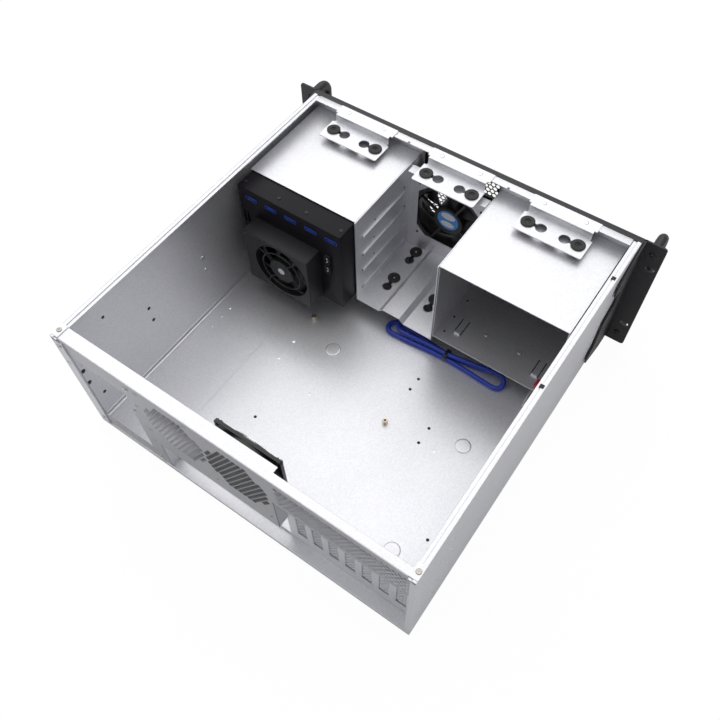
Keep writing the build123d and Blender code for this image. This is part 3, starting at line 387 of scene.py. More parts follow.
def ring(profile, place, sides=40):
    """A closed ring: the (radius, height) profile comes back to its start."""
    verts = []
    faces = []
    count = len(profile)
    for i in range(sides):
        a = 2 * math.pi * i / sides
        for r, h in profile:
            verts.append((r * MM * math.cos(a), r * MM * math.sin(a), h * MM))
    for i in range(sides):
        k = (i + 1) % sides
        for j in range(count):
            m = (j + 1) % count
            faces.append((i * count + j, k * count + j, k * count + m, i * count + m))
    me = bpy.data.meshes.new("ring")
    me.from_pydata(verts, [], faces)
    me.transform(place)
    return me


def torus(radius, wire, place, sides=48, around=12):
    return ring([(radius + u, v) for u, v in ngon(0, 0, wire, around)], place, sides)


def closed_mesh(name, verts, faces, place):
    """A mesh in its place, with all its normals outward."""
    me = bpy.data.meshes.new(name)
    me.from_pydata(verts, [], faces)
    me.transform(place)
    bm = bmesh.new()
    bm.from_mesh(me)
    bmesh.ops.recalc_face_normals(bm, faces=bm.faces)
    bm.to_mesh(me)
    bm.free()
    return me


def prism(profile, place, length):
    """A straight run of a closed profile along the local third axis."""
    count = len(profile)
    verts = [(u * MM, v * MM, w * MM) for w in (0, length) for u, v in profile]
    faces = [(i, (i + 1) % count, count + (i + 1) % count, count + i) for i in range(count)]
    faces.append(tuple(reversed(range(count))))
    faces.append(tuple(range(count, 2 * count)))
    return closed_mesh("prism", verts, faces, place)


def bevelled(me, width, segments, angle=35):
    """The mesh with its sharp edges rounded off."""
    bm = bmesh.new()
    bm.from_mesh(me)
    bmesh.ops.remove_doubles(bm, verts=bm.verts, dist=SAME_POINT)
    bmesh.ops.dissolve_limit(bm, angle_limit=math.radians(0.5), verts=bm.verts, edges=bm.edges)
    bm.to_mesh(me)
    bm.free()
    ob = bpy.data.objects.new("bevel", me)
    scene.collection.objects.link(ob)
    mod = ob.modifiers.new("bevel", "BEVEL")
    mod.width = width * MM
    mod.segments = segments
    mod.limit_method = "ANGLE"
    mod.angle_limit = math.radians(angle)
    depsgraph = bpy.context.evaluated_depsgraph_get()
    out = bpy.data.meshes.new_from_object(ob.evaluated_get(depsgraph))
    bpy.data.objects.remove(ob)
    bpy.data.meshes.remove(me)
    return out


def soften(node, width, segments=2, mat=None):
    """A CAD node's own form with rounded edges; its large faces stay flat."""
    me = NODES[node].data.copy()
    me.materials.clear()
    return piece(node + "_edged", [bevelled(me, width, segments)], mat or M[SLOT_OF[node]],
                 BODY_OF[node], node, flat_above=8.0)


def cross_screw(centre, axis, radius, height, roll=0.3):
    """A pan head with a cross recess: a low disc under a pierced crown."""
    at = axis_place(centre, axis, roll)
    arm = radius * 0.62
    w = radius * 0.13
    cross = [(w, w), (arm, w), (arm, -w), (w, -w), (w, -arm), (-w, -arm), (-w, -w), (-arm, -w),
             (-arm, w), (-w, w), (-w, arm), (w, arm)]
    base = lathe([(radius, 0), (radius, height * 0.45)], at, 20)
    crown = plate([ngon(0, 0, radius * 0.86, 20), cross], at @ place_xy(height * 0.7), height * 0.5)
    skirt = ring([(radius, height * 0.44), (radius * 0.97, height * 0.7),
                  (radius * 0.86, height * 0.95), (radius * 0.84, height * 0.44)], at, 20)
    return [base, crown, skirt]


def wire(points, radius, sides=3):
    """A round wire through points, as a mesh."""
    cu = bpy.data.curves.new("wire", "CURVE")
    cu.dimensions = "3D"
    cu.bevel_depth = radius * MM
    cu.bevel_resolution = sides
    cu.use_fill_caps = True
    sp = cu.splines.new("POLY")
    sp.points.add(len(points) - 1)
    for point, p in zip(sp.points, points):
        point.co = (p[0] * MM, p[1] * MM, p[2] * MM, 1)
    ob = bpy.data.objects.new("wire", cu)
    me = bpy.data.meshes.new_from_object(ob)
    bpy.data.objects.remove(ob)
    bpy.data.curves.remove(cu)
    return me


# Cords: the blue front cable folded into its hank, and the panel lead
def cord_curve(name, points, diameter, mat):
    cu = bpy.data.curves.new(name, "CURVE")
    cu.dimensions = "3D"
    cu.resolution_u = 10
    cu.bevel_depth = diameter * MM / 2
    cu.bevel_resolution = 5
    cu.use_fill_caps = True
    sp = cu.splines.new("NURBS")
    sp.points.add(len(points) - 1)
    for point, p in zip(sp.points, points):
        point.co = (p[0] * MM, p[1] * MM, p[2] * MM, 1)
    sp.order_u = 3
    sp.use_endpoint_u = True
    ob = bpy.data.objects.new(name, cu)
    scene.collection.objects.link(ob)
    cu.materials.append(mat)
    return ob


usb_route = [(-140, -214.5, 12), (-140, -162, 12), (-132, -117, 7.8), (-131, -98, 6.4),
             (-122, -89.5, 4.6), (-104, -86.5, 4.4), (-73, -82.6, 4.4), (-44, -85.5, 4.4),
             (-18, -88.1, 4.4), (-0.7, -88.2, 4.4), (6.1, -88.2, 4.4), (11, -83.3, 4.4),
             (11, -76.5, 4.4), (6.1, -71.6, 4.4), (-0.7, -71.6, 4.4), (-18, -72.2, 4.4),
             (-44, -75, 4.4), (-73, -77, 4.4), (-104, -76, 4.4), (-130, -74.2, 4.4),
             (-138.3, -74.1, 4.4), (-145.1, -74.1, 4.5), (-150, -79, 5), (-150, -85.8, 6.6),
             (-145.1, -90.7, 8.6), (-138.3, -90.7, 10.2), (-128, -88.8, 10.8), (-118, -86.6, 10.8),
             (-92, -82.7, 10.6), (-73, -79.9, 9.8), (-48, -79.5, 10.4), (-24, -77.2, 10.8),
             (-13.5, -76.6, 10.9), (-6.4, -76.6, 10.9), (-1, -82, 10.9), (-1, -89, 10.7),
             (-1, -92.1, 9.2)]
usb_lead = cord_curve("usb_cable", usb_route, 6.0, M["blue_cable"])
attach(usb_lead, "case")
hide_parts("usb_cord", "cable_hank")

# The plug, and the tie's band and head, drawn over Y and Z round the hank's middle
plug = soften("usb_plug", 0.6, 3)
band = rounded(rect(-86.4, -73.4, 1.25, 12.95), 3.2, 6)
band_in = rounded(rect(-85.7, -74.1, 1.9, 12.3), 2.6, 6)
tie_mesh = plate([band, band_in], place_yz(-73), 4.0)
tie_head = prism(rounded(rect(-87.6, -84.9, 5.0, 10.0), 0.6), place_yz(-75.6), 5.2)
tie = piece("tie_band", [tie_mesh, tie_head], M["black_plastic"], "case", "cable_tie")

lead_route = [(-165, -214.5, 12), (-165, -176, 12), (-177, -138, 6), (-181, -102, 5), (-182, -67, 5.5),
              (-190, -65.5, 36), (-190, -83, 36)]
panel_lead = cord_curve("panel_lead", lead_route, 2.4, M["white_plastic"])
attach(panel_lead, "case")
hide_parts("lead_cord")
lead_end = soften("lead_plug", 0.4)

# Directions that turned forms point in
UP = (0, 0, 1)
REARWARD = (0, 1, 0)
FORWARD = (0, -1, 0)
TO_RIGHT = (-1, 0, 0)

# Tray: floor, side walls with their rims and ledges, and the flanges at the rear
STEEL = M["galvanised"]
SHEET = 1.2
TRAY_FRONT, TRAY_REAR = -214.4, 220.5
TRAY_RUN = TRAY_REAR - TRAY_FRONT
WALL_MID, WALL_IN = 214.4, 213.8
FLOOR_HOLE, PAD_HOLE = 1.9, 1.4
dark_holes = ((-107.6, 13.6), (-107.7, 35.9), (-177.8, 127.2), (68.4, 116.3), (-61.5, -35.5),
              (-60.9, -17.9))
spare_holes = ((-128, 35), (34, 55.7), (96, 6.8), (96, 36.56))
pad_holes = [ngon(195.1, hy, PAD_HOLE, 14) for hy in (47.1, 28.5)]
floor_loops = [rect(-213.6, 213.6, TRAY_FRONT, TRAY_REAR)]
floor_loops += [ngon(hx, hy, FLOOR_HOLE, 16) for hx, hy in dark_holes + spare_holes]
floor_loops += pad_holes + [ngon(194.9, 12.5, PAD_HOLE, 14)]
tray_meshes = [plate(floor_loops, place_xy(SHEET / 2), SHEET)]

# Round embossings of the floor, and the raised pad under the supply in two steps
emboss = [(9.6, 1.1), (9.2, 1.5), (8.4, 1.95), (7.6, 2.0)]
for hx, hy in ((48.7, -11.6), (-151.8, 10.7), (-152.7, 158.4)):
    tray_meshes.append(lathe(emboss, axis_place((hx, hy, 0), UP), 36))
pad_foot = rounded(rect(126.5, 204.5, 24, 192), 12, 8)
pad_top = rounded(rect(128, 203, 25.5, 190.5), 11, 8)
tray_meshes.append(plate([pad_foot] + pad_holes, place_xy(1.35), 0.4))
tray_meshes.append(plate([pad_top] + pad_holes, place_xy(1.75), 0.45))

# Slots pierced in the right wall, over Y and Z
right_wall_slots = [slot_loop(y, z, 7.5, 2.6, True) for y, z in
                    ((156.7, 135.2), (155.8, 108.6), (178.6, 123.8), (181.6, 80.6), (184.6, 63.7),
                     (184.6, 45.8))]
right_wall_slots += [slot_loop(157.7, 75.5, 6.0, 2.6, True), slot_loop(205, 60, 7, 2.4, True),
                     slot_loop(206, 44, 7, 2.4, True)]

# Profiles over X and Z that run along each side wall, written for the left one
wall_bend = [(215.0, 1.7), (215.0, 1.6), (214.86, 0.98), (214.5, 0.4), (214.0, 0.1), (213.5, 0.0),
             (213.5, 1.2), (213.8, 1.35), (213.8, 1.7)]
wall_fillet = [(210.8, 1.15), (211.8, 1.28), (212.7, 1.7), (213.4, 2.4), (213.8, 3.4), (213.9, 3.4),
               (213.9, 1.15)]
wall_seam = [(213.85, 5.0), (213.85, 7.0), (213.5, 6.9), (213.1, 6.5), (213.0, 5.9), (213.3, 5.3)]
wall_rim = [(215.0, 175.5), (215.0, 176.0), (214.85, 176.5), (214.5, 176.85), (214.0, 177.0),
            (210.6, 177.0), (210.2, 176.85), (210.0, 176.5), (209.95, 176.1), (209.6, 175.8),
            (206.2, 175.8), (206.0, 175.5), (206.0, 174.7), (206.2, 174.6), (210.8, 174.6),
            (211.2, 174.9), (211.3, 175.4), (211.6, 175.75), (212.2, 175.8), (213.4, 175.8),
            (213.8, 175.5)]
for side in (1, -1):
    wall = rect(TRAY_FRONT, TRAY_REAR, 1.6, 175.6)
    pierced = right_wall_slots if side < 0 else []
    tray_meshes.append(plate([wall] + pierced, place_yz(side * WALL_MID), SHEET))
    for profile in (wall_bend, wall_fillet, wall_seam, wall_rim):
        mirrored = [(side * u, v) for u, v in profile]
        tray_meshes.append(prism(mirrored, along_y(TRAY_FRONT), TRAY_RUN))

# Flanges at the rear: left, right and along the floor
FLANGE_Y, FLANGE_LOW, FLANGE_TOP = 219.85, 1.25, 171
left_flange = [rect(201, 213.75, FLANGE_LOW, FLANGE_TOP), slot_loop(208.8, 131.4, 6, 1.8),
               ngon(208, 162.5, 1.6, 12)]
right_flange = [rect(-213.75, -208.6, FLANGE_LOW, FLANGE_TOP)]
floor_flange = [rect(-208.55, 200.95, FLANGE_LOW, 6.0)]
for loops in (left_flange, right_flange, floor_flange):
    tray_meshes.append(plate(loops, place_xz(FLANGE_Y), SHEET))
piece("tray_sheet", tray_meshes, STEEL, "case", "chassis_tray")

# Dark discs on the left wall (Y, Z, radius), painted shade standing for the bores of its holes, and two
# screws beside them
hole_shade_discs = [lathe([(r, 0), (r, 0.15), (r * 0.9, 0.25)], axis_place((WALL_IN, wy, wz), TO_RIGHT), 20)
           for wy, wz, r in ((211.5, 96.6, 3.1), (212.0, 74.0, 3.1), (202.2, 40.7, 2.3),
                             (215.2, 89.3, 1.3), (216.6, 30.0, 1.3), (163.1, 141.1, 2.0),
                             (109.3, 96.0, 2.3), (109.2, 73.9, 2.3))]
piece("wall_hole_shade", hole_shade_discs, PAINTED_SHADE_DARK, "case")
wall_heads = []
for wy, wz in ((17.9, 95.0), (18.4, 73.3)):
    wall_heads += cross_screw((WALL_IN, wy, wz), TO_RIGHT, 2.9, 1.4)
piece("wall_screw_heads", wall_heads, M["zinc"], "case")

# Rear panel with its supply opening, two octagonal vents, the pierced strip and small holes, in the
# darkened copy of the steel that paints its shade
PANEL_Y = 218.6
VENT_PITCH, VENT_HOLE = 6.0, 5.0
VENT_Z, VENT_HALF, VENT_MARGIN = 124.5, 39.0, 2.6
STRIP_X, STRIP_Z = -135.0, 150.0
panel_outline = [(-213.7, 1.3), (-208, 1.3), (-208, 125), (-57, 125), (-57, 58), (105.7, 58),
                 (105.7, 1.3), (213.7, 1.3), (213.7, 174.5), (205.5, 174.5), (205.5, 175.8),
                 (-205.5, 175.8), (-205.5, 174.5), (-213.7, 174.5)]
supply_opening = rounded([(200.6, 25), (200.6, 148), (128, 148), (117.5, 139.5), (117.5, 120.5),
                          (126, 112), (126, 25)], [1.5, 3, 2, 2, 2, 2, 1.5], 4)
panel_loops = [panel_outline, supply_opening]
for vent_x in (64.5, -14.0):
    panel_loops += hex_field(vent_x, VENT_Z, VENT_PITCH, VENT_HOLE, octagon(VENT_HALF, VENT_MARGIN))
panel_loops += hex_field(STRIP_X, STRIP_Z, VENT_PITCH, VENT_HOLE, within(70.5, 18.5))
for sx, sz, length in ((103.6, 167.9, 6.5), (113.0, 135.1, 5.0), (109.3, 88.3, 6.0), (42, 168.5, 6.0)):
    panel_loops.append(slot_loop(sx, sz, length, 1.9))
for sx, sz in ((20, 78), (-50, 78), (60, 70), (112, 60)):
    panel_loops.append(ngon(sx, sz, 1.5, 12))
piece("rear_sheet", [plate(panel_loops, place_xz(PANEL_Y), SHEET)], SHADED_REAR_STEEL, "case", "rear_panel")

# Its folded rim, deeper to the left of the step, and its corner tabs with their screws
RIM_STEP_X, RIM_END_X = -58.5, 205.5
TAB_MID_Z, TAB_SHEET = 177.5, 0.8
rim_meshes = []
for x0, x1, y0 in ((RIM_STEP_X, RIM_END_X, 203.7), (-RIM_END_X, RIM_STEP_X, 210.1)):
    fold = [(219.2, 175.7), (219.1, 176.2), (218.8, 176.7), (218.3, 176.95), (217.8, 177.0),
            (y0 + 0.2, 177.0), (y0, 176.8), (y0, 176.1), (y0 + 0.2, 175.9), (217.6, 175.9),
            (218.0, 175.7)]
    rim_meshes.append(prism(fold, place_yz(x0), x1 - x0))
for side in (1, -1):
    tab = rounded([(side * 205.6, 203.2), (side * 214.4, 203.2), (side * 214.4, 218.4),
                   (side * 205.6, 218.4)], 0.8)
    rim_meshes.append(plate([tab], place_xy(TAB_MID_Z), TAB_SHEET))
piece("rear_rim", rim_meshes, STEEL, "case")
tab_screws = []
for sx in (210.6, -210.6):
    tab_screws += cross_screw((sx, 211, 177.9), UP, 2.8, 0.9)
piece("corner_screws", tab_screws, SCREW_GREY, "case")
heads = []
for sx, sy, sz in ((208.0, 220.6, 162.5), (208.0, 220.6, 14.0), (118.5, 219.3, 162.5),
                   (118.5, 219.3, 14.0)):
    heads += cross_screw((sx, sy, sz), REARWARD, 3.0, 1.2)
piece("supply_screw_heads", heads, M["zinc"], "case", "supply_screws")

# Pierced slot covers with their bent tabs, and the screws of the tabs; the covers take the same darkened
# steel, painted shade
SLOTS, SLOT_PITCH, FIRST_SLOT_X = 7, 20.32, -72.0
COVER_HALF, COVER_SHEET, COVER_Y = 9.2, 0.8, 203.5
COVER_FOOT, COVER_SHOULDER, COVER_TOP = 8.0, 16.0, 126.3
COVER_PITCH, COVER_HOLE = 4.6, 3.7
for index in range(SLOTS):
    cx = FIRST_SLOT_X - index * SLOT_PITCH
    left, right = cx + COVER_HALF, cx - COVER_HALF
    loops = [[(right, COVER_SHOULDER), (cx - 5, COVER_SHOULDER), (cx - 5, COVER_FOOT),
              (cx + 5, COVER_FOOT), (cx + 5, COVER_SHOULDER), (left, COVER_SHOULDER),
              (left, COVER_TOP), (right, COVER_TOP)]]
    loops += hex_field(cx, 70.0, COVER_PITCH, COVER_HOLE, within(4.9, 44.0))
    strip = plate(loops, place_xz(COVER_Y), COVER_SHEET)
    tab_outline = rounded([(right, 203.1), (left, 203.1), (left, 214.9), (cx + 5.6, 214.9),
                           (cx + 5.6, 206.9), (cx + 2.4, 206.9), (cx + 2.4, 214.9), (right, 214.9)],
                          [0, 0, 1, 0.5, 1.5, 1.5, 0.5, 1])
    tab = plate([tab_outline], place_xy(126.5), COVER_SHEET)
    number = index + 1
    piece("pierced_cover_%d" % number, [strip, tab], SHADED_REAR_STEEL, "case", "slot_cover_%d" % number)
heads = []
for index in range(SLOTS):
    screw_x = FIRST_SLOT_X - index * SLOT_PITCH + 4
    heads += cross_screw((screw_x, 210.0, 127.0), UP, 2.9, 1.9, 0.2 * index)
piece("slot_screw_heads", heads, M["zinc"], "case", "slot_screws")

# Ears with their rack slots and side legs, and the handles
EAR_IN_X, EAR_OUT_X, EAR_MID_Y, LEG_MID_X, EAR_SHEET = 216.1, 241.3, -221.5, 217.1, 2.0
EAR_LOW, EAR_HIGH, MID_Z = 0.4, 176.6, 88.5
RACK_SLOT_X, RACK_SLOT_Z = 232.55, 50.8
HANDLE_X, HANDLE_Z, HANDLE_BEND, HANDLE_Y = 228.65, 71.8, 12, -244.5
leg_outline = rounded([(-221.5, 0.4), (-200.5, 0.4), (-170.5, 14), (-154.5, 21), (-154.5, 39),
                       (-164.5, 50), (-164.5, 92), (-185.5, 104), (-185.5, 130), (-164.5, 138),
                       (-164.5, 158), (-198.5, 172), (-221.5, 176.6)],
                      [0, 4, 6, 4, 4, 6, 6, 6, 6, 4, 4, 6, 0], 6)
ear_corner = ((216.1, -220.5), (216.1, -221.7), (216.35, -222.2), (216.9, -222.5), (218.1, -222.5),
              (218.1, -220.5))
collar = [(6.2, 0), (7.2, 0.2), (7.4, 0.8), (7.2, 1.4), (6.1, 1.6)]
BEND_STEPS = 10
bend_angles = [math.pi / 2 * k / BEND_STEPS for k in range(BEND_STEPS + 1)]
for side, name in ((1, "left"), (-1, "right")):
    loops = [rounded([(side * EAR_IN_X, EAR_LOW), (side * EAR_OUT_X, EAR_LOW),
                      (side * EAR_OUT_X, EAR_HIGH), (side * EAR_IN_X, EAR_HIGH)], [0, 4, 4, 0], 6)]
    for dz in (-RACK_SLOT_Z, RACK_SLOT_Z):
        loops.append(slot_loop(side * RACK_SLOT_X, MID_Z + dz, 10.5, 7.0))
    for dz in (-HANDLE_Z, HANDLE_Z):
        loops.append(ngon(side * HANDLE_X, MID_Z + dz, 2.2, 16))
    front_plate = plate(loops, place_xz(EAR_MID_Y), EAR_SHEET)
    leg_loops = [leg_outline, ngon(-172.5, 148, 2.2, 16), ngon(-172.5, 72, 2.2, 16)]
    leg_plate = plate(leg_loops, place_yz(side * LEG_MID_X), EAR_SHEET)
    corner = prism([(side * u, v) for u, v in ear_corner], place_xy(EAR_LOW), EAR_HIGH - EAR_LOW)
    piece("ear_%s_sheet" % name, [front_plate, leg_plate, corner], M["black_coat"], "case",
          "ear_" + name)
    hx = side * HANDLE_X
    low, high = MID_Z - HANDLE_Z, MID_Z + HANDLE_Z
    path = [(hx, -222.6, low), (hx, HANDLE_Y, low)]
    path += [(hx, HANDLE_Y - HANDLE_BEND * math.sin(t), low + HANDLE_BEND - HANDLE_BEND * math.cos(t))
             for t in bend_angles[1:]]
    path += [(hx, HANDLE_Y - HANDLE_BEND * math.cos(t), high - HANDLE_BEND + HANDLE_BEND * math.sin(t))
             for t in bend_angles]
    path += [(hx, -222.6, high)]
    collars = [lathe(collar, axis_place((hx, -222.55, z), FORWARD), 32) for z in (low, high)]
    piece("handle_%s_bar" % name, [wire(path, 5.78, sides=6)] + collars, M["black_coat"], "case",
          "handle_" + name)
heads = []
for sx in (-HANDLE_X, HANDLE_X):
    for sz in (16.7, 160.3):
        heads += cross_screw((sx, -220.4, sz), REARWARD, 3.4, 1.6)
piece("handle_screw_heads", heads, M["black_coat"], "case", "handle_screws")

# Brackets: a top fold on the front rim, a drop, and a pad with two keyhole pairs
BRACKET_X, BRACKET_PITCH = 1.0, 130.5
BRACKET_Y = -213.9
STEP_Y = BRACKET_Y + 17.4
PAD_END_Y = STEP_Y + 31.6
KEY_Y = STEP_Y + 15.8
TOP_Z = 177.1
PAD_Z = TOP_Z - 8.6
TOP_HALF, PAD_HALF = 37.5, 40.5
GROMMET_X, KEY_STEP = 30.0, 16.0
KEY_RADIUS, KEY_NECK, KEY_STEPS = 6.5, math.asin(2.5 / 6.5), 20
bracket_fold = [(BRACKET_Y, TOP_Z), (STEP_Y - 2.2, TOP_Z), (STEP_Y - 1.5, TOP_Z - 0.3),
                (STEP_Y - 1.2, TOP_Z - 1.0), (STEP_Y - 1.2, PAD_Z + 1.2), (STEP_Y - 0.9, PAD_Z + 0.4),
                (STEP_Y - 0.2, PAD_Z), (STEP_Y + 1.0, PAD_Z), (STEP_Y + 1.0, PAD_Z + 1.2),
                (STEP_Y + 0.4, PAD_Z + 1.2), (STEP_Y, PAD_Z + 1.6), (STEP_Y, TOP_Z + 0.1),
                (STEP_Y - 0.3, TOP_Z + 0.8), (STEP_Y - 1.0, TOP_Z + 1.2), (BRACKET_Y, TOP_Z + 1.2)]
for index, name in enumerate(("bracket_right", "bracket_middle", "bracket_left")):
    bx = BRACKET_X + (index - 1) * BRACKET_PITCH
    meshes = [prism(bracket_fold, place_yz(bx - TOP_HALF), 2 * TOP_HALF)]
    for side in (-1, 1):
        x_in = bx + side * TOP_HALF
        x_out = bx + side * PAD_HALF
        lug = rounded(rect(min(x_in, x_out), max(x_in, x_out), BRACKET_Y, STEP_Y - 4), 0.8)
        meshes.append(plate([lug], place_xy(TOP_Z + 0.6), SHEET))
    loops = [rounded([(bx - TOP_HALF, STEP_Y + 0.8), (bx + TOP_HALF, STEP_Y + 0.8),
                      (bx + TOP_HALF, STEP_Y + 3), (bx + PAD_HALF, STEP_Y + 3),
                      (bx + PAD_HALF, PAD_END_Y), (bx - PAD_HALF, PAD_END_Y),
                      (bx - PAD_HALF, STEP_Y + 3), (bx - TOP_HALF, STEP_Y + 3)],
                     [0, 0, 0.6, 0.6, 2, 2, 0.6, 0.6])]
    for end in (-1, 1):
        gx = bx + end * GROMMET_X
        key = []
        for centre_x, first in ((gx, 0.0), (gx - end * KEY_STEP, math.pi)):
            for k in range(KEY_STEPS + 1):
                t = first + KEY_NECK + (2 * math.pi - 2 * KEY_NECK) * k / KEY_STEPS
                key.append((centre_x - end * KEY_RADIUS * math.cos(t),
                            KEY_Y + KEY_RADIUS * math.sin(t) * -end))
        loops.append(key)
    meshes.append(plate(loops, place_xy(PAD_Z + 0.6), SHEET))
    piece(name + "_sheet", meshes, M[SLOT_OF[name]], "case", name)


# Rivets and grommets
def grommet(x, y, under, panel):
    """A rubber ring in a hole of a sheet, and the slit membrane in it."""
    half = (5.0 - panel) / 2 - 0.1
    lo = under - half
    hi = under + panel + half
    profile = [(3.0, lo + 0.3), (3.4, lo), (7.4, lo), (8.1, lo + 0.5), (8.1, under - 0.4),
               (7.9, under - 0.1), (5.5, under - 0.1), (5.5, under + panel + 0.1),
               (7.9, under + panel + 0.1), (8.1, under + panel + 0.4), (8.1, hi - 0.6), (7.2, hi),
               (4.4, hi), (3.4, hi - 0.4), (3.0, hi - 1.2)]
    at = axis_place((x, y, 0), UP)
    membrane = plate([ngon(0, 0, 3.1, 24), rect(-1.1, 1.1, -0.9, 0.9)], at @ place_xy(hi - 1.5), 0.5)
    return [ring(profile, at, 32), membrane]


rivet = [(2.4, 0), (2.4, 0.2), (2.1, 0.48), (1.3, 0.66), (0.5, 0.68), (0.45, 0.48), (0.0, 0.45)]
rivet_meshes = []
grommet_meshes = []
for index in range(3):
    bx = BRACKET_X + (index - 1) * BRACKET_PITCH
    for side in (-1, 1):
        rivet_meshes.append(lathe(rivet, axis_place((bx + side * 25, -206.9, 178.4), UP), 20))
        grommet_meshes += grommet(bx + side * GROMMET_X, KEY_Y, PAD_Z, SHEET)
piece("rivet_heads", rivet_meshes, M["zinc"], "case", "bracket_rivets")
piece("bracket_grommet_rings", grommet_meshes, M["rubber"], "case", "bracket_grommets")
BAY_FLOOR_Z = 24.0
bay_rings = []
bay_studs = []
for hx in (38.5, -22.5):
    for hy in (-183.0, -131.6):
        bay_rings += grommet(hx, hy, BAY_FLOOR_Z, 1.0)
        bay_studs.append(lathe([(1.3, 0), (1.3, 0.5), (0.9, 0.8)], axis_place((hx, hy, 25.9), UP), 14))
piece("bay_grommet_studs", bay_studs, M["zinc"], "case")
piece("bay_grommet_rings", bay_rings, M["rubber"], "case", "bay_grommets")

# Folded sheets and mouldings kept in their own form, with soft edges
for node in ("drive_cage_left", "front_frame", "slot_frame"):
    soften(node, 0.28)
soften("front_fascia", 0.5, 3)
soften("module_housing", 0.35, mat=MODULE_BLACK)
for node in ("usb_block", "power_button", "reset_button"):
    soften(node, 0.25)
for index in range(5):
    soften("drive_tray_%d" % (index + 1), 0.5)
for index in range(3):
    soften("bay_cover_%d" % (index + 1), 0.5)

# Painted shade: dark discs under the floor's holes, and dark plates in slits, round studs and squares in
# sheets that stay as they are
CAGE_FLOOR_Z = 32.3
shadows = [plate([ngon(hx, hy, 2.3, 16)], place_xy(0.2), 0.3) for hx, hy in dark_holes]
for slit_x in (-69.5, -78.5, -173.5, -182.5):
    slit = rect(slit_x - 0.6, slit_x + 0.6, -121.5, -97.5)
    shadows.append(plate([slit], place_xy(CAGE_FLOOR_Z), 0.3))
for stud_x in (-104.0, -149.0):
    stud = [ngon(stud_x, -116.0, 3.0, 20), ngon(stud_x, -116.0, 2.0, 20)]
    shadows.append(plate(stud, place_xy(32.56), 0.12))
for hole_y in (-155.0, -0.7):
    square = rounded(rect(-212.7, -208.1, hole_y - 2.4, hole_y + 2.4), 0.4)
    shadows.append(plate([square], place_xy(176.98), 0.14))
piece("hole_painted_shade", shadows, PAINTED_SHADE_DARK, "case")

# Small dimples in the bay's left wall (Y, Z) and in the right cage's floor (X, Y), drawn as dark discs:
# painted shade
dimple = [(1.3, 0), (1.3, 0.1), (1.1, 0.15)]
dots = [lathe(dimple, axis_place((58.15, wy, wz), TO_RIGHT), 14) for wy, wz in
        ((-92.3, 127.9), (-91.5, 96.3), (-90.8, 69.0), (-90.0, 37.0), (-117.3, 134.3),
         (-115.2, 106.5), (-115.1, 76.3), (-178.9, 134.3), (-180.8, 101.1))]
dots += [lathe(dimple, axis_place((dx, dy, 32.5), UP), 14) for dx, dy in
         ((-59.4, -148.2), (-58.4, -118.2), (-59.6, -93.3))]
piece("bay_dimple_shade", dots, PAINTED_SHADE_DARK, "case")

# Fine pierced sheet behind the middle opening of the fascia
grille_loops = [rect(-49.8, 55.8, 26.0, 173.0)]
grille_loops += hex_field(3.0, 99.5, 6.0, 4.8, within(47.5, 68.0))
piece("front_mesh_sheet", [plate(grille_loops, place_xz(-220.6), 0.6)], M["black_coat"], "case",
      "front_grille")

# Sockets on the module: thin blue frames with a tongue and a dark navy plate in each mouth as painted
# shade, and black power sockets with pins
SOCKET_X, SOCKET_PITCH = 130.5, 28.6
SOCKET_LOW, SOCKET_HIGH, SOCKET_HALF, SOCKET_WALL = 144.6, 149.4, 8.4, 0.7
frames = []
mouth_shade = []
for index in range(5):
    sx = SOCKET_X + (index - 2) * SOCKET_PITCH
    frame_out = rect(sx - SOCKET_HALF, sx + SOCKET_HALF, SOCKET_LOW, SOCKET_HIGH)
    frame_in = rect(sx - SOCKET_HALF + SOCKET_WALL, sx + SOCKET_HALF - SOCKET_WALL,
                    SOCKET_LOW + SOCKET_WALL, SOCKET_HIGH - SOCKET_WALL)
    frames.append(plate([rounded(frame_out, 0.6), rounded(frame_in, 0.3)], place_xz(-52.5), 0.8))
    frames.append(plate([rect(sx - 5.0, sx + 4.4, 146.8, 147.5)], place_xz(-52.4), 0.6))
    mouth_shade.append(plate([frame_in], place_xz(-52.75), 0.3))
piece("data_socket_frames", frames, SOCKET_BLUE, "case", "data_sockets")
piece("socket_mouth_shade", mouth_shade, SOCKET_SHADE_NAVY, "case")
shells = []
pins = []
for pz in (113.6, 97.4):
    shell_loops = [rounded(rect(75.0, 82.4, pz - 6.6, pz + 6.6), 0.7),
                   rect(76.4, 81.0, pz - 5.2, pz + 5.2)]
    shells.append(plate(shell_loops, place_xz(-50.9), 4.0))
    shells.append(plate([rect(76.3, 81.1, pz - 5.3, pz + 5.3)], place_xz(-52.5), 0.6))
    for dz in (-2.6, 2.6):
        pin_at = axis_place((78.7, -52.2, pz + dz), REARWARD)
        pins.append(lathe([(1.0, 0), (1.0, 3.0), (0.7, 3.4)], pin_at, 12))
piece("power_socket_shells", shells, M["black_plastic"], "case", "power_sockets")
piece("power_socket_pins", pins, M["white_plastic"], "case")
heads = []
for sx in (66.0, 114.0, 153.0, 202.0):
    heads += cross_screw((sx, -63.0, 159.8), UP, 2.2, 0.8)
piece("module_screw_heads", heads, M["black_coat"], "case", "module_screws")

# Fans. A blade's chord is an angle; it is thickest and most cambered in the middle of the chord.
BLADE_SPANS, BLADE_CHORDS = 7, 8
BLADE_SWEEP, BLADE_CHORD, BLADE_WIDENING, CHORD_SPREAD = 0.22, 0.60, 0.05, 1.7
BLADE_EDGE, BLADE_BELLY, BLADE_CAMBER = 0.18, 0.55, 0.9


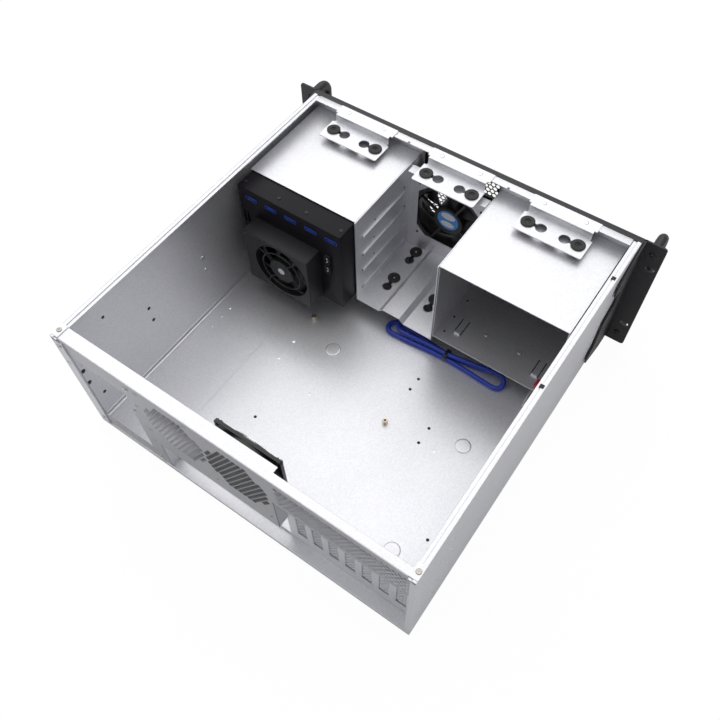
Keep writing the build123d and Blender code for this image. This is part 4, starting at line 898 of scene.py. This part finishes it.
def blade_mesh(base, hub, tip, half_length, place):
    """One swept, twisted blade; base is its angle on the hub."""
    verts = []
    faces = []
    for layer in (-1, 1):
        for i in range(BLADE_SPANS + 1):
            s = i / BLADE_SPANS
            r = (hub - 0.6) + (tip - hub + 0.4) * s
            sweep = BLADE_SWEEP * s * s
            wide = BLADE_CHORD + BLADE_WIDENING * s
            for j in range(BLADE_CHORDS + 1):
                c = j / BLADE_CHORDS - 0.5
                belly = 1 - (2 * c) ** 2
                ang = base + sweep + wide * c * CHORD_SPREAD
                depth = (half_length - 1.4) * math.sin(math.pi * 0.5 * 2 * c * 0.98) * (0.98 - 0.14 * s)
                height = depth + BLADE_CAMBER * belly + layer * (BLADE_BELLY * belly + BLADE_EDGE)
                verts.append((r * MM * math.cos(ang), r * MM * math.sin(ang), height * MM))
    row = BLADE_CHORDS + 1
    per = (BLADE_SPANS + 1) * row
    for layer in range(2):
        for i in range(BLADE_SPANS):
            for j in range(BLADE_CHORDS):
                a = layer * per + i * row + j
                quad = (a, a + 1, a + row + 1, a + row)
                faces.append(quad if layer else tuple(reversed(quad)))
    edge = [i * row for i in range(BLADE_SPANS + 1)]
    edge += [BLADE_SPANS * row + j for j in range(1, row)]
    edge += [i * row + BLADE_CHORDS for i in range(BLADE_SPANS - 1, -1, -1)]
    edge += [j for j in range(BLADE_CHORDS - 1, 0, -1)]
    for a, b in zip(edge, edge[1:] + edge[:1]):
        faces.append((a, b, per + b, per + a))
    return closed_mesh("blade", verts, faces, place)


def rotor(name, node, centre, y_front, tip, hub, length, turned=0.0):
    """A cup hub with seven blades."""
    x, z = centre
    h = length / 2
    place = Matrix(((1, 0, 0, x * MM), (0, 0, 1, (y_front + h) * MM), (0, 1, 0, z * MM), (0, 0, 0, 1)))
    cup = [(hub - 1.2, -h), (hub - 0.3, -h + 0.4), (hub, -h + 1.4), (hub, h - 1.4), (hub - 0.3, h - 0.4),
           (hub - 1.2, h)]
    meshes = [lathe(cup, place, 40)]
    meshes += [blade_mesh(turned + 2 * math.pi * b / 7, hub, tip, h, place) for b in range(7)]
    return piece(name, meshes, M["black_plastic"], BODY_OF[node], node)


def fan_frame(name, node, centre, y_front, size, bore, hub):
    """Two square flanges with a duct between them, and the motor plate on four arms."""
    x, z = centre
    half = size / 2
    hole = half - 4.3
    place = Matrix(((1, 0, 0, x * MM), (0, 0, -1, 0), (0, 1, 0, z * MM), (0, 0, 0, 1)))
    meshes = []
    for mid in (y_front + 1.75, y_front + 23.25):
        loops = [rounded(rect(-half, half, -half, half), 3.0, 6), ngon(0, 0, bore, 56)]
        loops += [ngon(u * hole, v * hole, 2.15, 16) for u in (-1, 1) for v in (-1, 1)]
        meshes.append(plate(loops, Matrix.Translation((0, mid * MM, 0)) @ place, 3.5))
    duct = [(bore, -y_front - 25), (bore + 1.6, -y_front - 25), (bore + 1.6, -y_front), (bore, -y_front)]
    meshes.append(ring(duct, place, 56))
    rear_y = y_front + 23.5
    meshes.append(lathe([(hub, -1.5), (hub, 1.1), (hub - 0.5, 1.5)],
                        axis_place((x, rear_y, z), REARWARD), 40))
    arm = rounded([(hub - 1, -1.6), (bore + 0.8, -1.2), (bore + 0.8, 1.2), (hub - 1, 1.6)], 0.4, 2)
    for k in range(4):
        a = math.radians(28 + 90 * k)
        turned = [(u * math.cos(a) - v * math.sin(a), u * math.sin(a) + v * math.cos(a)) for u, v in arm]
        meshes.append(plate([turned], Matrix.Translation((0, rear_y * MM, 0)) @ place, 3.0))
    return piece(name, meshes, M["black_plastic"], "case", node)


FRONT_FAN, REAR_FAN, MODULE_FAN = (3.0, 95.5), (-14.0, 124.0), (133.0, 78.0)
fan_frame("front_fan_body", "front_fan_frame", FRONT_FAN, -218.1, 92.0, 44.0, 20.0)
rotor("front_fan_blades", "front_fan_rotor", FRONT_FAN, -217.1, 41.6, 20.0, 20.0, 0.3)
fan_frame("rear_fan_body", "rear_fan_frame", REAR_FAN, 192.9, 80.0, 38.0, 17.0)
rotor("rear_fan_blades", "rear_fan_rotor", REAR_FAN, 193.9, 35.6, 17.0, 20.0)
rotor("module_fan_blades", "module_fan_rotor", MODULE_FAN, -49.2, 35.6, 17.0, 18.2)
soften("module_fan_frame", 0.3)

# Hub label: a blue disc with two plain ovals (offset, half width, half height)
LABEL_X, LABEL_Z = 3.0, 97.5
hub_label = lathe([(14.6, 0), (14.4, 0.15)], axis_place((LABEL_X, -193.08, LABEL_Z), REARWARD), 40)
piece("front_hub_label", [hub_label], LABEL_BLUE, "case")
ovals = []
for dz, rx, rz in ((6.6, 9.8, 5.2), (-6.4, 9.4, 4.4)):
    loop = [(LABEL_X + rx * u, LABEL_Z + dz + rz * v) for u, v in ngon(0, 0, 1, 32)]
    ovals.append(plate([loop], place_xz(-192.88), 0.1))
piece("front_hub_ovals", ovals, PAPER, "case")

# Rear fan guard: four rings, two crossed wires and four screw eyes
GUARD_Y, GUARD_SCREW = 191.3, 35.7
fan_x, fan_z = REAR_FAN
guard = []
for radius in (36.5, 29.0, 22.0, 14.5):
    guard.append(torus(radius, 0.75, axis_place((fan_x, GUARD_Y - 0.6, fan_z), REARWARD), 48, 8))
for angle in (45, 135):
    a = math.radians(angle)
    reach = GUARD_SCREW * math.sqrt(2)
    ends = [(fan_x + reach * s * math.cos(a), GUARD_Y + 0.7, fan_z + reach * s * math.sin(a))
            for s in (-0.93, 0.93)]
    guard.append(wire(ends, 0.75))
for u in (-1, 1):
    for v in (-1, 1):
        eye = (fan_x + u * GUARD_SCREW, GUARD_Y + 0.7, fan_z + v * GUARD_SCREW)
        guard.append(torus(3.0, 0.7, axis_place(eye, REARWARD), 24, 8))
piece("rear_guard_wires", guard, M["zinc"], "case", "rear_fan_guard")

# Module shroud: a rounded box whose face carries the ring and spokes
SHROUD_X, SHROUD_Z, SHROUD_Y = 139.0, 119.5 - 83.5 / 2, -52.9 + 25.0
SPOKE_IN, SPOKE_OUT, SPOKE_STEPS = 16.0, 38.4, 6
fan_x, fan_z = MODULE_FAN
fan_at = axis_place((fan_x, SHROUD_Y, fan_z), REARWARD)
wire_y = SHROUD_Y - 0.9


def shroud_loop(half_x, half_z, radius, steps):
    return rounded(rect(SHROUD_X - half_x, SHROUD_X + half_x, SHROUD_Z - half_z, SHROUD_Z + half_z),
                   radius, steps)


shell = plate([shroud_loop(47.5, 41.75, 1.6, 5), shroud_loop(46.0, 40.25, 0.8, 4)],
              place_xz(SHROUD_Y - 12.9), 24.2)
face = plate([shroud_loop(47.1, 41.35, 1.3, 5), ngon(fan_x, fan_z, 38.0, 64)],
             place_xz(SHROUD_Y - 0.75), 1.5)
lip = ring([(38.0, 0), (38.6, 0.0), (38.3, -0.5), (38.0, -0.8)], fan_at, 64)
spokes = [torus(28.0, 1.1, axis_place((fan_x, wire_y, fan_z), REARWARD), 56, 10)]
for k in range(4):
    a = math.radians(35 + 90 * k)
    pts = []
    for step in range(SPOKE_STEPS + 1):
        r = SPOKE_IN + (SPOKE_OUT - SPOKE_IN) * step / SPOKE_STEPS
        bend_a = a + 0.10 * math.sin(math.pi * step / SPOKE_STEPS)
        pts.append((fan_x + r * math.cos(bend_a), wire_y, fan_z + r * math.sin(bend_a)))
    spokes.append(wire(pts, 1.0))
boss = lathe([(17.2, -1.5), (17.2, -0.3), (16.8, 0.0)], fan_at, 40)
piece("shroud_moulding", [shell, face, lip, boss] + spokes, M["black_coat"], "case", "module_shroud")
sticker = lathe([(4.8, 0.0), (4.7, 0.12)], fan_at, 32)
piece("shroud_sticker", [sticker], PAPER, "case")

# Standoffs: hexagonal posts, 6 mm across the flats, with a threaded bore's mouth
posts = []
for px, py in ((96, 191.5), (-61.48, 191.5), (-185.94, 191.5), (-61.48, 36.56), (96, -35.83)):
    at = axis_place((px, py, 0), UP)
    hexa = ngon(0, 0, 3.0 / math.cos(math.pi / 6), 6)
    posts.append(plate([hexa, ngon(0, 0, 1.25, 16)], at @ place_xy(4.4), 6.0))
    posts.append(ring([(1.25, 7.4), (2.8, 7.4), (2.5, 7.8), (1.6, 7.8)], at, 24))
piece("standoff_posts", posts, M["brass"], "case", "standoffs")


# Floor, light and world
def background_share(nt, base, camera, glossy, passing):
    """How much of the plain white background a camera, a mirrored or a passing ray sees."""
    path = nt.nodes.new("ShaderNodeLightPath")
    total = None
    for ray, share in (("Is Camera Ray", camera), ("Is Glossy Ray", glossy),
                       ("Is Transmission Ray", passing)):
        node = nt.nodes.new("ShaderNodeMath")
        node.operation = "MULTIPLY_ADD"
        node.inputs[1].default_value = share
        node.inputs[2].default_value = base
        nt.links.new(path.outputs[ray], node.inputs[0])
        if total is not None:
            nt.links.new(total, node.inputs[2])
        total = node.outputs[0]
    return total


FLOOR_HALF, FLOOR_Z = 6, -0.0005
floor_mesh = bpy.data.meshes.new("floor")
floor_mesh.from_pydata([(x, y, FLOOR_Z) for x, y in rect(-FLOOR_HALF, FLOOR_HALF, -FLOOR_HALF, FLOOR_HALF)],
                       [], [(0, 1, 2, 3)])
floor_mesh.update()
floor = bpy.data.objects.new("floor", floor_mesh)
scene.collection.objects.link(floor)
floor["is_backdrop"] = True
mat, nt, bsdf = node_tree("floor_white")
out = nt.nodes["Material Output"]
bsdf.inputs["Base Color"].default_value = (0.75, 0.75, 0.76, 1)
bsdf.inputs["Roughness"].default_value = 0.9
emit = nt.nodes.new("ShaderNodeEmission")
emit.inputs["Color"].default_value = (1, 1, 1, 1)
emit.inputs["Strength"].default_value = 1.03
mix = nt.nodes.new("ShaderNodeMixShader")
nt.links.new(background_share(nt, 0.0, 0.93, 0.15, 1.0), mix.inputs["Fac"])
nt.links.new(bsdf.outputs["BSDF"], mix.inputs[1])
nt.links.new(emit.outputs["Emission"], mix.inputs[2])
nt.links.new(mix.outputs["Shader"], out.inputs["Surface"])
floor.data.materials.append(mat)

world = bpy.data.worlds.new("studio")
scene.world = world
world.use_nodes = True
bg = world.node_tree.nodes["Background"]
bg.inputs["Color"].default_value = (0.98, 0.99, 1.0, 1)
nt = world.node_tree
nt.links.new(background_share(nt, 0.33, 0.67, 0.05, 0.67), bg.inputs["Strength"])

light = bpy.data.lights.new("top_light", "AREA")
light.shape = "RECTANGLE"
light.size, light.size_y = 4.2, 3.9
light.energy = 65.0
lamp = bpy.data.objects.new("top_light", light)
scene.collection.objects.link(lamp)
lamp_from, lamp_towards = Vector((0.7, -0.8, 1.9)), Vector((0.3, -0.35, 0.1))
lamp.location = lamp_from
lamp.rotation_mode = "QUATERNION"
lamp.rotation_quaternion = (lamp_towards - lamp_from).to_track_quat("-Z", "Y")

scene.view_settings.view_transform = "Standard"

low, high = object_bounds()
